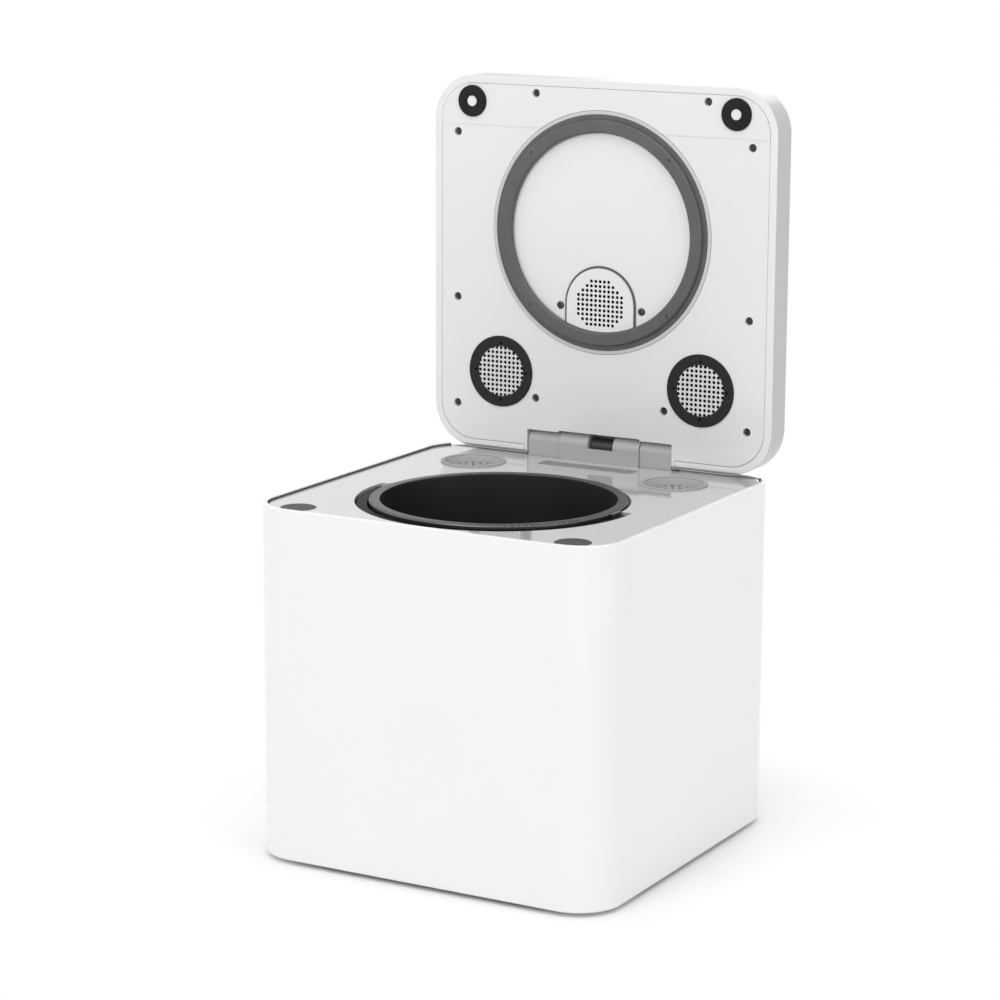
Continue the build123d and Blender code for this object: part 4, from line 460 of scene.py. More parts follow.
@dataclass(frozen=True)
class Board(Finish):
    """Circuit board: solder mask with paler tracks and pads in it."""

    name: str
    mask: Colour
    track: Colour
    field_size: float = 4 * MM
    pad_pitch: float = 2.5 * MM
    relief: float = 0.03 * MM

    def make(self, shader: Shader) -> Material:
        """Build the material."""
        fields = shader.cells(self.field_size, "DISTANCE_TO_EDGE")
        tracks = shader.ramp(fields, ((0.04, 1.0), (0.06, 0.0)))
        pads = shader.ramp(shader.cells(self.pad_pitch), ((0.12, 1.0), (0.16, 0.0)))
        lines = tracks | pads * 0.8
        return shader.surface(
            Base_Color=shader.blend(lines, self.mask, self.track),
            Roughness=0.3 + 0.15 * shader.noise(1 * MM),
            Coat_Weight=0.4,
            Normal=shader.bump(lines, self.relief),
        )


@dataclass(frozen=True)
class LightGuide(Finish):
    """Frosted clear moulding that carries light round the button."""

    name: str
    colour: Colour
    frost: float = 0.4 * MM
    depth: float = 0.01 * MM

    def make(self, shader: Shader) -> Material:
        """Build the material."""
        frost = shader.noise(self.frost, 3.0)
        deep = tuple(c * 0.9 for c in self.colour)
        return shader.surface(
            Base_Color=shader.blend(frost, self.colour, deep),
            Roughness=0.25 + 0.15 * frost,
            Transmission_Weight=0.25,
            Normal=shader.bump(frost, self.depth),
        )


WHITE_GLOSS = Moulding(
    "white_gloss", (0.86, 0.86, 0.855), 0.16, 0.5, 2 * MM, 0.0006 * MM, 0.012 * MM
)
DECK_GLOSS = Moulding(
    "deck_gloss", (0.52, 0.52, 0.515), 0.09, 0.6, 2 * MM, 0.0004 * MM, 0.004 * MM
)
LID_SATIN = Moulding("lid_satin", (0.79, 0.79, 0.785), 0.18, 0.5, 0.35 * MM, 0.001 * MM)
DISC_SATIN = Moulding("disc_satin", (0.82, 0.82, 0.815), 0.3, 0.0, 0.35 * MM, 0.002 * MM)
CARRIER_GREY = Moulding("carrier_grey", (0.60, 0.60, 0.595), 0.3, 0.0, 0.35 * MM, 0.002 * MM)
LEDGE_BLACK = Moulding("ledge_black", (0.012, 0.012, 0.013), 0.4, shine=0.3)
HINGE_GREY = Moulding("hinge_grey", (0.44, 0.44, 0.44), 0.35)
DAMPER_GREY = Moulding("damper_grey", (0.03, 0.03, 0.032), 0.3)
COLLAR_GREY = Moulding("collar_grey", (0.09, 0.09, 0.092), 0.35)
COVER_GREY = Moulding("cover_grey", (0.24, 0.24, 0.238), 0.5, shine=0.2)
PANEL_GREY = Moulding("panel_grey", (0.52, 0.52, 0.515), 0.35)
HANDLE_GREY = Moulding("handle_grey", (0.018, 0.018, 0.019), 0.6, shine=0.1)
BEZEL_GREY = Moulding("bezel_grey", (0.024, 0.024, 0.0245), 0.5, shine=0.12)
MESH_GREY = Moulding("mesh_grey", (0.72, 0.72, 0.715), 0.4)
GRILLE_GREY = Moulding("grille_grey", (0.36, 0.36, 0.356), 0.4, shine=0.4)
DUCT_GREY = Moulding("duct_grey", (0.34, 0.34, 0.34), 0.45)
ACETAL = Moulding("acetal", (0.78, 0.76, 0.70), 0.35, 0.1)
PAD_GREY = Rubber("pad_grey", (0.07, 0.07, 0.072), 0.6, shine=0.2)
MAGNET_GREY = Rubber("magnet_grey", (0.006, 0.006, 0.007), 0.45, 0.04, 0.2)
FOOT_RUBBER = Rubber("foot_rubber", (0.04, 0.04, 0.04))
# Dark strip of painted shade, set in the deck's joint where the gap's shade falls.
PAINTED_JOINT_SHADE = Rubber("painted_joint_shade", (0.07, 0.07, 0.071), 0.8, shine=0.1)
SEAL_GREY = Rubber("seal_grey", (0.09, 0.09, 0.093), 0.42)
PORT_SEAL_GREY = Rubber("port_seal_grey", (0.36, 0.36, 0.356), 0.5, shine=0.3)
# Black sheet of painted shade, set in holes where the shade of the inside falls.
PAINTED_HOLE_SHADE = Rubber("painted_hole_shade", (0.004, 0.004, 0.004), 0.9, 0.02, 0.1)
# Grey line of painted shadow under the lid panel's raised strip.
PAINTED_STRIP_SHADOW = Rubber("painted_strip_shadow", (0.3, 0.3, 0.3), 0.8, 0.02, 0.2)
# Pale strip of painted light that fills the lid panel's joint in place of the gap's shade.
PAINTED_JOINT_LIGHT = Rubber("painted_joint_light", (0.55, 0.55, 0.545), 0.6)
SCREW_STEEL = Metal("screw_steel", (0.09, 0.09, 0.094), 0.28)
SHAFT_STEEL = Metal("shaft_steel", (0.62, 0.62, 0.63), 0.22, Grain.ROUND_Z)
PIN_STEEL = Metal("pin_steel", (0.6, 0.6, 0.6), 0.25, Grain.ALONG_X)
PLATE_STEEL = Metal("plate_steel", (0.58, 0.58, 0.59), 0.35, Grain.CAST)
STAINLESS = Metal("stainless", (0.55, 0.55, 0.56), 0.25, Grain.ROUND_Z)
CAST_ALUMINIUM = Metal("cast_aluminium", (0.62, 0.62, 0.63), 0.38, Grain.CAST, 0.8 * MM, 0.02 * MM)
BRASS = Metal("brass", (0.72, 0.55, 0.25), 0.28, Grain.ROUND_Z)
CARBON_FLEECE = Fleece("carbon_fleece", (0.03, 0.03, 0.03))
WOOL = Fleece("wool", (0.66, 0.62, 0.52), 1.2 * MM)
GREEN_BOARD = Board("green_board", (0.02, 0.16, 0.06), (0.06, 0.30, 0.12))
CLEAR_RING = LightGuide("clear_ring", (0.82, 0.86, 0.85))


# ---- meshes
def shade(mesh: Mesh, angle: float = SMOOTH_ANGLE) -> None:
    """Shade a mesh smooth, with a hard line where its faces meet at more than an angle."""
    shape = bmesh.new()
    shape.from_mesh(mesh)
    limit = math.radians(angle)
    for face in shape.faces:
        face.smooth = True
    for edge in shape.edges:
        edge.smooth = len(edge.link_faces) == 2 and edge.calc_face_angle() < limit
    shape.to_mesh(mesh)
    shape.free()


def paint(mesh: Mesh, finish: Finish) -> None:
    """Give a mesh its one material."""
    mesh.materials.clear()
    mesh.materials.append(finish.material())


def link(name: str, data: bpy.types.ID) -> Piece:
    """Return a new object with a mesh, camera or lamp, placed in the scene."""
    item = bpy.data.objects.new(name, data)
    bpy.context.scene.collection.objects.link(item)
    return item


def bake(piece: Piece) -> None:
    """Turn what an object's modifiers give into its plain mesh, and remove them."""
    graph = bpy.context.evaluated_depsgraph_get()
    mesh = bpy.data.meshes.new_from_object(
        piece.evaluated_get(graph), preserve_all_data_layers=True, depsgraph=graph
    )
    mesh.name = piece.name
    piece.modifiers.clear()
    piece.data = mesh


def merged(node: str) -> bmesh.types.BMesh:
    """Return a working copy of a CAD node's mesh, with its corners merged."""
    shape = bmesh.new()
    shape.from_mesh(frame["nodes"][node].data)
    bmesh.ops.remove_doubles(shape, verts=shape.verts, dist=WELD)
    return shape


def settled(shape: bmesh.types.BMesh, name: str) -> Mesh:
    """Return a new mesh with a working copy's shape, and free the copy."""
    mesh = bpy.data.meshes.new(name)
    shape.to_mesh(mesh)
    shape.free()
    return mesh


def welded(node: str) -> Mesh:
    """Return a closed copy of a CAD node's mesh whose flat stretches are single faces."""
    shape = merged(node)
    bmesh.ops.dissolve_degenerate(shape, edges=shape.edges, dist=SLIVER)
    flat = math.radians(FLAT_ANGLE)
    bmesh.ops.dissolve_limit(shape, angle_limit=flat, verts=shape.verts, edges=shape.edges)
    return settled(shape, f"{node}_form")


def front_outline(node: str) -> list[Spot]:
    """Outer outline, seen from the front, of a plate that stands across Y.

    Args:
        node: the CAD node of the plate.

    Returns:
        x and z of the outline's corners, in order.
    """
    shape = merged(node)
    front = min(v.co.y for v in shape.verts) + LEVEL_TOLERANCE
    edges = [
        e
        for e in shape.edges
        if all(v.co.y < front for v in e.verts)
        and sum(all(v.co.y < front for v in f.verts) for f in e.link_faces) == 1
    ]
    start = max((v for e in edges for v in e.verts), key=lambda v: v.co.z)
    chain, used = [start], set()
    while True:
        ahead = [e for e in chain[-1].link_edges if e in edges and e not in used]
        if not ahead:
            break
        used.add(ahead[0])
        follower = ahead[0].other_vert(chain[-1])
        if follower is start:
            break
        chain.append(follower)
    outline = [(v.co.x, v.co.z) for v in chain]
    shape.free()
    return outline


def loft(name: str, rings: list[list[Point]]) -> Mesh:
    """Join rings of corners into a closed form.

    Args:
        name: the mesh's name.
        rings: the rings, in order, with the same number of corners in each.

    Returns:
        The mesh, with one face across each end and its faces outwards.
    """
    shape = bmesh.new()
    loops = [[shape.verts.new(corner) for corner in ring] for ring in rings]
    shape.faces.new(loops[0])
    shape.faces.new(list(reversed(loops[-1])))
    for near, far in zip(loops, loops[1:]):
        for i in range(len(near)):
            k = (i + 1) % len(near)
            shape.faces.new((near[k], near[i], far[i], far[k]))
    bmesh.ops.recalc_face_normals(shape, faces=shape.faces)
    return settled(shape, name)


def slab(outline: list[Spot], front: float, back: float) -> Mesh:
    """Return a closed plate across Y, given x and z of its corners and y of its faces."""
    return loft("slab", [[(x, y, z) for x, z in outline] for y in (front, back)])


def turned_plate(profile: list[Spot], centre: Spot) -> Mesh:
    """Round plate across Y.

    Args:
        profile: radius and y of each corner, from the front to the back.
        centre: x and z of the axis.

    Returns:
        The closed mesh, with one face for each flat round.
    """
    turns = [math.tau * step / ROUND_STEPS for step in range(ROUND_STEPS)]
    rings = [
        [(centre[0] + reach * math.cos(t), y, centre[1] + reach * math.sin(t)) for t in turns]
        for reach, y in profile
    ]
    return loft("plate", rings)


def ribbon(
    corners: list[tuple[float, float, float, float]], across: Spot, levels: Spot, axis: int
) -> Mesh:
    """Strip that follows the outside of a plate's rounded outline.

    Args:
        corners: each corner's centre and its first and last angle, in degrees; a corner of no
            turn is an end of the strip.
        across: distance of the strip's inner side from those centres, and its width.
        levels: lowest and highest level along the plate's axis.
        axis: the plate's axis, 1 for Y or 2 for Z.

    Returns:
        The closed mesh.
    """
    inner, outer = across[0], across[0] + across[1]
    section = ((inner, levels[0]), (inner, levels[1]), (outer, levels[1]), (outer, levels[0]))
    rings = []
    for u, v, start, end in corners:
        steps = CORNER_STEPS if start != end else 0
        for step in range(steps + 1):
            turn = math.radians(start + (end - start) * step / CORNER_STEPS)
            ring = []
            for reach, level in section:
                spot = [u + reach * math.cos(turn), v + reach * math.sin(turn)]
                spot.insert(axis, level)
                ring.append(spot)
            rings.append(ring)
    return loft("ribbon", rings)


# ---- geometry trees
class Lattice(Enum):
    """Rule that says which crossings of a square lattice have a hole."""

    FILTER = "filter"
    VENT = "vent"


class GeometryTree(Tree):
    """Geometry Nodes tree with named inputs, which ends in Realize Instances and Set Material."""

    def __init__(self, name: str, inputs: Mapping[str, str]) -> None:
        """Start the tree, given the socket type of each named input."""
        super().__init__(bpy.data.node_groups.new(name, "GeometryNodeTree"))
        face = self.tree.interface
        face.new_socket("Geometry", in_out="INPUT", socket_type="NodeSocketGeometry")
        self.sockets = {
            key: face.new_socket(key, in_out="INPUT", socket_type=f"NodeSocket{kind}")
            for key, kind in inputs.items()
        }
        face.new_socket("Geometry", in_out="OUTPUT", socket_type="NodeSocketGeometry")
        self.entry = self.tree.nodes.new("NodeGroupInput")

    def given(self, name: str) -> Sock:
        """Return a named input."""
        return Sock(self, self.entry.outputs[name])

    def moved(self, geometry: Sock, level: Any) -> Sock:
        """Return a geometry moved up by a level."""
        shift = self.add("ShaderNodeCombineXYZ", inputs={"Z": level})
        inputs = {"Geometry": geometry, "Translation": shift}
        return self.add("GeometryNodeTransform", inputs=inputs)

    def cone(self, bottom: Any, top: Any, height: Any, sides: int) -> Sock:
        """Return a frustum, by its two radii and height, that stands on the origin."""
        inputs = {"Vertices": sides, "Radius Top": top, "Radius Bottom": bottom, "Depth": height}
        return self.add("GeometryNodeMeshCone", inputs=inputs)

    def boolean(self, operation: str, inputs: Mapping[str, Any]) -> Sock:
        """Return the exact union or difference of meshes."""
        settings = {"operation": operation, "solver": "EXACT"}
        return self.add("GeometryNodeMeshBoolean", settings, inputs)

    def scatter(self, points: Sock, shape: Sock, turn: Any) -> Sock:
        """Return a shape, turned, on each point."""
        inputs = {"Points": points, "Instance": shape, "Rotation": turn}
        return self.add("GeometryNodeInstanceOnPoints", inputs=inputs)

    def close(self, geometry: Sock, finish: Finish) -> None:
        """End the tree with the geometry that it gives, in a finish."""
        real = self.add("GeometryNodeRealizeInstances", inputs={"Geometry": geometry})
        dressed = self.add(
            "GeometryNodeSetMaterial", inputs={"Geometry": real, "Material": finish.material()}
        )
        self.add("NodeGroupOutput", inputs={0: dressed})

    def apply(self, piece: Piece, values: Mapping[str, Any]) -> None:
        """Run the tree on an object and keep its result as a plain mesh.

        Args:
            piece: the object.
            values: a value for each named input.
        """
        modifier = piece.modifiers.new("made", "NODES")
        modifier.node_group = self.tree
        for key, value in values.items():
            modifier[self.sockets[key].identifier] = value
        bake(piece)


def perforation(rule: Lattice, finish: Finish) -> GeometryTree:
    """Tree that pierces a plate standing across Y with round, slightly tapered holes.

    Args:
        rule: which crossings of the lattice have a hole.
        finish: the plate's finish.

    Returns:
        The tree.
    """
    tip, flare = 0.9, 1.16
    kinds = {key: "Float" for key in ("Pitch", "Hole radius", "Depth", "Reach")}
    tree = GeometryTree(f"{rule.value}_holes", kinds | {"Rings": "Int", "Centre": "Vector"})
    pitch, rings, reach = (tree.given(key) for key in ("Pitch", "Rings", "Reach"))
    side = 2.0 * pitch * rings
    count = 2.0 * rings + 1.0
    grid = tree.add(
        "GeometryNodeMeshGrid",
        inputs={"Size X": side, "Size Y": side, "Vertices X": count, "Vertices Y": count},
    )
    x, y, _ = tree.split(tree.add("GeometryNodeInputPosition"))
    i, j = x / pitch, y / pitch
    if rule is Lattice.FILTER:
        kept = i * i + j * j < reach
    else:
        kept = (abs(i) + abs(j) < reach) * (j > 0.5 - rings)
    spots = tree.add(
        "GeometryNodeDeleteGeometry",
        {"domain": "POINT"},
        {"Geometry": grid, "Selection": 1.0 - kept},
    )
    upright = (math.pi / 2, 0.0, 0.0)
    placed = tree.add(
        "GeometryNodeTransform",
        inputs={"Geometry": spots, "Translation": tree.given("Centre"), "Rotation": upright},
    )
    radius, depth = tree.given("Hole radius"), tree.given("Depth")
    drill = tree.cone(radius * tip, radius * flare, depth * 2.0, DRILL_SIDES)
    drills = tree.scatter(placed, tree.moved(drill, depth * -1.0), upright)
    plate = tree.given("Geometry")
    tree.close(tree.boolean("DIFFERENCE", {"Mesh 1": plate, "Mesh 2": drills}), finish)
    return tree


def screw_heads(finish: Finish) -> GeometryTree:
    """Tree that sets a cross-recessed pan-head screw on each vertex of an object.

    Args:
        finish: the screws' finish.

    Returns:
        The tree.
    """
    skirt_share, skirt_top, crown_top = 0.55, 0.97, 0.7
    recess_span, recess_depth = 1.25, 1.2
    sizes = ("Head radius", "Head height", "Shank radius", "Shank length", "Recess width")
    kinds = {key: "Float" for key in sizes} | {"Axis": "Vector"}
    tree = GeometryTree(f"screws_{finish.name}", kinds)
    radius, height, shank, length, slot = (tree.given(key) for key in sizes)
    belt = radius * skirt_top
    skirt = tree.cone(radius, belt, height * skirt_share, HEAD_SIDES)
    crown = tree.cone(belt, radius * crown_top, height * (1.0 - skirt_share), HEAD_SIDES)
    head = tree.boolean("UNION", {"Mesh 2": [skirt, tree.moved(crown, height * skirt_share)]})
    bars = []
    for along in ("X", "Y"):
        size = {"X": slot, "Y": slot, "Z": height * recess_depth}
        size[along] = radius * recess_span
        cube = tree.add("ShaderNodeCombineXYZ", inputs=size)
        bars.append(tree.moved(tree.add("GeometryNodeMeshCube", inputs={"Size": cube}), height))
    recessed = tree.boolean("DIFFERENCE", {"Mesh 1": head, "Mesh 2": bars})
    stem = tree.add(
        "GeometryNodeMeshCylinder",
        inputs={"Vertices": SHANK_SIDES, "Radius": shank, "Depth": length},
    )
    screw = tree.add(
        "GeometryNodeJoinGeometry", inputs={"Geometry": [recessed, tree.moved(stem, length * -0.5)]}
    )
    turned = tree.add(
        "FunctionNodeAlignRotationToVector", {"axis": "Z"}, {"Vector": tree.given("Axis")}
    )
    tree.close(tree.scatter(tree.given("Geometry"), screw, turned), finish)
    return tree


# ---- sub-assemblies
@dataclass
class Assembly:
    """Pieces that are made together; each piece rides on the body of the node it stands for."""

    pieces: list[Piece] = field(default_factory=list, init=False)

    def build(self) -> None:
        """Make the pieces; each sub-assembly has its own way."""
        raise NotImplementedError

    def seat(self, piece: Piece, node: str, stands_in: bool = True) -> None:
        """Let a piece ride on the body of a CAD node.

        Args:
            piece: the finished piece.
            node: the node that gives its body and material slot.
            stands_in: whether the piece takes the node's place.
        """
        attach(piece, BODY_OF[node])
        if stands_in:
            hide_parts(node)
        self.pieces.append(piece)
        LOG.info("%-24s on %-14s %6d faces", piece.name, BODY_OF[node], len(piece.data.polygons))

    def skin(
        self, node: str, finish: Finish, edge: float = 0.0, angle: float = SMOOTH_ANGLE
    ) -> None:
        """Put a smooth-shaded form with softened edges in a CAD node's place.

        Args:
            node: the CAD node.
            finish: its finish.
            edge: width of the softened edges.
            angle: angle, in degrees, from which an edge counts as one.
        """
        mesh = welded(node)
        shade(mesh, angle)
        paint(mesh, finish)
        piece = link(f"{node}_form", mesh)
        if edge:
            soft = piece.modifiers.new("edge", "BEVEL")
            soft.width = edge
            soft.segments = 2
            soft.limit_method = "ANGLE"
            soft.angle_limit = math.radians(angle)
        level = piece.modifiers.new("level", "WEIGHTED_NORMAL")
        level.keep_sharp = True
        bake(piece)
        self.seat(piece, node)

    def add_trim(self, name: str, mesh: Mesh, finish: Finish, node: str) -> None:
        """Add a thin strip or felt that has no CAD node of its own.

        Args:
            name: its name.
            mesh: its mesh.
            finish: its finish.
            node: the node that holds it, whose body and slot it takes.
        """
        paint(mesh, finish)
        shade(mesh)
        self.seat(link(name, mesh), node, stands_in=False)

    def add_screws(self, screws: "Screws") -> None:
        """Build a node's screws, which count as a piece of this sub-assembly."""
        screws.build()
        self.pieces += screws.pieces

    @staticmethod
    def dress(node: str, finish: Finish) -> None:
        """Give a CAD node, whose own shape stays, its finish."""
        paint(frame["nodes"][node].data, finish)
        LOG.info("%-24s keeps its shape, %s", node, finish.name)


@dataclass
class Screws(Assembly):
    """Screws of one node, set by Geometry Nodes where its CAD screws stand."""

    node: str
    axis: Point
    head_radius: float = 2.6 * MM
    head_height: float = 1.4 * MM
    shank_radius: float = 1.3 * MM
    shank_length: float = 6.0 * MM
    recess_width: float = 0.75 * MM

    def seats(self) -> list[Vector]:
        """Return the middle of each head's underside, read from the CAD screws."""
        shape = merged(self.node)
        out = Vector(self.axis)
        spots: list[Vector] = []
        left = set(shape.verts)
        while left:
            island, edge = set(), [left.pop()]
            while edge:
                vert = edge.pop()
                island.add(vert)
                near = {e.other_vert(vert) for e in vert.link_edges} & left
                left -= near
                edge.extend(near)
            top = max(v.co.dot(out) for v in island)
            crown = [v.co for v in island if v.co.dot(out) > top - LEVEL_TOLERANCE]
            spots.append(sum(crown, Vector()) / len(crown) - out * self.head_height)
        shape.free()
        return sorted(spots, key=lambda p: (round(p.z, 4), round(p.x, 4), round(p.y, 4)))

    def build(self) -> None:
        """Set a screw on each seat."""
        mesh = bpy.data.meshes.new(f"{self.node}_seats")
        mesh.from_pydata([tuple(p) for p in self.seats()], [], [])
        piece = link(f"{self.node}_heads", mesh)
        values = {
            "Head radius": self.head_radius,
            "Head height": self.head_height,
            "Shank radius": self.shank_radius,
            "Shank length": self.shank_length,
            "Recess width": self.recess_width,
            "Axis": self.axis,
        }
        screw_heads(SCREW_STEEL).apply(piece, values)
        shade(piece.data, SCREW_ANGLE)
        self.seat(piece, self.node)


@dataclass
class PiercedPlate(Assembly):
    """Plate across Y with a lattice of holes, and a black felt that shows through them."""

    rule: Lattice
    reach: float
    plate_finish: Finish
    pitch: float = 3.43 * MM
    hole_radius: float = 1.2 * MM
    rings: int = 5
    # Where the black sheet of painted shade sits inside the plate.
    shade_sheet_depth: float = 0.4 * MM
    shade_sheet_margin: float = 0.1 * MM

    def pierce(self, name: str, mesh: Mesh, node: str, centre: Spot) -> None:
        """Pierce a plate and put it in its node's place.

        Args:
            name: the piece's name.
            mesh: the plate.
            node: the CAD node that it stands for.
            centre: x and z of the lattice's middle.
        """
        low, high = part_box(node)
        piece = link(name, mesh)
        values = {
            "Pitch": self.pitch,
            "Hole radius": self.hole_radius,
            "Depth": high[1] - low[1],
            "Rings": self.rings,
            "Reach": self.reach,
            "Centre": (centre[0], low[1], centre[1]),
        }
        perforation(self.rule, self.plate_finish).apply(piece, values)
        shade(piece.data, HOLE_ANGLE)
        self.seat(piece, node)

    def shade_sheet_levels(self, node: str) -> Spot:
        """Return y of the felt's front and back inside a node's plate."""
        low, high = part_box(node)
        return low[1] + self.shade_sheet_depth, high[1] - self.shade_sheet_margin


@dataclass
class Housing(Assembly):
    """Body shell with its base, feet, rear panel, inlet and rear ledge."""

    edge: float = 0.45 * MM

    def build(self) -> None:
        """Make the housing's pieces."""
        self.skin("outer_shell", WHITE_GLOSS, self.edge)
        self.skin("base_pan", HINGE_GREY)
        self.skin("feet", FOOT_RUBBER, 0.3 * MM)
        self.skin("rear_panel", PANEL_GREY, 0.25 * MM)
        self.skin("power_inlet", LEDGE_BLACK, 0.2 * MM)
        self.skin("rear_ledge", LEDGE_BLACK, 0.3 * MM)
        self.dress("main_board", GREEN_BOARD)
        self.add_screws(Screws("base_screws", (0.0, 0.0, -1.0)))
        rear = Screws(
            "rear_screws", (0.0, 1.0, 0.0), shank_radius=1.1 * MM, shank_length=4.0 * MM
        )
        self.add_screws(rear)


@dataclass
class Deck(Assembly):
    """Top deck with its strike pads, cover plate and the two air ports."""

    edge: float = 0.25 * MM
    corner_radius: float = 28.2 * MM
    joint: float = 0.7 * MM
    joint_gap: float = 0.05 * MM
    joint_floor: float = 2.55 * MM
    joint_rise: float = 0.95 * MM
    upright: int = 2

    def painted_joint_strip(self) -> Mesh:
        """Return the dark strip in the joint between the deck and the shell's lip."""
        low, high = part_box("top_deck")
        radius = self.corner_radius
        rear = -low[1] - radius
        cut = math.degrees(math.asin((high[1] - rear) / (radius + self.joint_gap + self.joint)))
        corners = [
            (low[0] + radius, rear, 180 - cut, 180),
            (low[0] + radius, low[1] + radius, 180, 270),
            (high[0] - radius, low[1] + radius, 270, 360),
            (high[0] - radius, rear, 360, 360 + cut),
        ]
        levels = (high[2] - self.joint_floor, high[2] + self.joint_rise)
        return ribbon(corners, (radius + self.joint_gap, self.joint), levels, self.upright)

    def build(self) -> None:
        """Make the deck's pieces."""
        self.skin("top_deck", DECK_GLOSS, self.edge)
        self.skin("strike_pads", PAD_GREY, 0.35 * MM)
        self.skin("cable_cover", COVER_GREY, 0.15 * MM)
        self.skin("port_grilles", GRILLE_GREY, 0.12 * MM)
        self.skin("port_seals", PORT_SEAL_GREY)
        # The joint's dark strip is painted shade, not a part.
        self.add_trim("deck_joint_shade", self.painted_joint_strip(), PAINTED_JOINT_SHADE, "top_deck")


@dataclass
class Hinge(Assembly):
    """Hinge body in the rear ledge, its end caps, pins and damper, and the lid's brackets."""

    edge: float = 0.35 * MM

    def build(self) -> None:
        """Make the hinge's pieces."""
        self.skin("hinge_block", HINGE_GREY, self.edge)
        self.skin("hinge_caps", HINGE_GREY, self.edge)
        self.skin("hinge_damper", DAMPER_GREY, 0.2 * MM)
        self.skin("hinge_pins", PIN_STEEL)
        self.skin("hinge_brackets", PLATE_STEEL, 0.15 * MM)


@dataclass
class Well(Assembly):
    """Collar with its handle trough, and the heated liner round the bucket."""

    edge: float = 0.3 * MM

    def build(self) -> None:
        """Make the well's pieces."""
        self.skin("well_collar", COLLAR_GREY, self.edge)
        self.skin("well_liner", STAINLESS)
        self.skin("heater_band", BRASS)
        self.skin("insulation", WOOL)


@dataclass
class Bucket(Assembly):
    """Lift-out bucket with its handle, bushing, agitator and fixed breakers."""

    # Dark coating colour, darkened further to near-black as painted shade of the bucket's inside.
    coat: Colour = (0.014, 0.014, 0.015)
    # Colour and width of the flange edge's band: unpainted metal, and a painted highlight line.
    bare_edge_highlight: Colour = (0.14, 0.14, 0.144)
    rim_highlight_width: float = 0.5 * MM

    def coating(self) -> Coating:
        """Return the bucket's finish, placed from its own box."""
        low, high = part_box("bucket")
        return Coating(
            "coated_aluminium",
            self.coat,
            self.bare_edge_highlight,
            axis_y=(low[1] + high[1]) / 2,
            edge_radius=(high[1] - low[1]) / 2,
            edge_highlight_width=self.rim_highlight_width,
            top_z=high[2] - 2 * self.rim_highlight_width,
        )

    def build(self) -> None:
        """Make the bucket's pieces."""
        self.skin("bucket", self.coating(), angle=ROUND_ANGLE)
        self.skin("handle", HANDLE_GREY, 0.5 * MM)
        self.skin("handle_pivots", PIN_STEEL, 0.3 * MM)
        self.skin("bucket_bushing", ACETAL, 0.3 * MM)
        self.skin("fixed_breakers", CAST_ALUMINIUM, 0.8 * MM)
        self.skin("agitator", CAST_ALUMINIUM, 0.8 * MM)


@dataclass
class Lid(Assembly):
    """Lid cover and inner panel, with the screws, magnets, button and its board."""

    rim: Colour = (0.79, 0.79, 0.785)
    outside: Colour = (0.50, 0.50, 0.483)
    edge: float = 0.5 * MM
    corner_radius: float = 26.2 * MM
    joint: float = 0.3 * MM
    joint_gap: float = 0.05 * MM
    joint_drop: float = 0.25 * MM
    joint_depth: float = 1.4 * MM
    rim_face: float = 0.3 * MM
    # Height of the painted shadow line under the raised strip.
    strip_shadow: float = 0.7 * MM
    strip_inset: float = 1.0 * MM
    face_tolerance: float = 0.01 * MM
    depthwise: int = 1

    def cover_finish(self) -> RimmedMoulding:
        """Return the cover's finish: a white rim face and a warm grey outside."""
        return RimmedMoulding(
            "lid_cover_grey",
            self.outside,
            roughness=0.3,
            coat=0.2,
            grain=0.35 * MM,
            depth=0.002 * MM,
            drift=0.04,
            rim=self.rim,
            plane_y=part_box("lid_cover")[0][1] + self.rim_face,
        )

    def painted_joint_strip(self) -> Mesh:
        """Return the pale strip in the joint between the panel and the cover's rim."""
        low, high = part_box("lid_panel")
        radius = self.corner_radius
        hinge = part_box("hinge_caps")[1][0] + 2 * self.edge
        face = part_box("lid_cover")[0][1]
        left, right = low[0] + radius, high[0] - radius
        base, top = low[2] + radius, high[2] - radius
        corners = [
            (hinge, base, 270, 270),
            (right, base, 270, 360),
            (right, top, 360, 450),
            (left, top, 450, 540),
            (left, base, 540, 630),
            (-hinge, base, 630, 630),
        ]
        levels = (face + self.joint_drop, face + self.joint_depth)
        return ribbon(corners, (radius + self.joint_gap, self.joint), levels, self.depthwise)

    def strip_shadow_line(self) -> Mesh:
        """Return the thin joint under the panel's raised strip."""
        low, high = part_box("lid_panel")
        corners = [v.co for v in frame["nodes"]["lid_panel"].data.vertices]
        base = min(p.z for p in corners if p.y < low[1] + self.face_tolerance)
        left, right = low[0] + self.strip_inset, high[0] - self.strip_inset
        under = base - self.strip_shadow
        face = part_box("lid_cover")[0][1]
        outline = [(left, under), (right, under), (right, base), (left, base)]
        return slab(outline, face - self.joint_gap / 2, face + self.joint_drop)

    def build(self) -> None:
        """Make the lid's pieces."""
        self.skin("lid_cover", self.cover_finish(), self.edge)
        self.skin("lid_panel", LID_SATIN, 0.2 * MM)
        # The joint's pale strip is painted light, not a part.
        self.add_trim("panel_joint_light", self.painted_joint_strip(), PAINTED_JOINT_LIGHT, "lid_panel")
        # The line under the raised strip is painted shadow.
        self.add_trim("strip_shadow", self.strip_shadow_line(), PAINTED_STRIP_SHADOW, "lid_panel")
        self.skin("magnet_rings", MAGNET_GREY)
        self.skin("start_button", WHITE_GLOSS, 0.2 * MM)
        self.skin("light_ring", CLEAR_RING, 0.15 * MM)
        self.dress("control_board", GREEN_BOARD)
        self.add_screws(Screws("lid_screws", (0.0, -1.0, 0.0)))


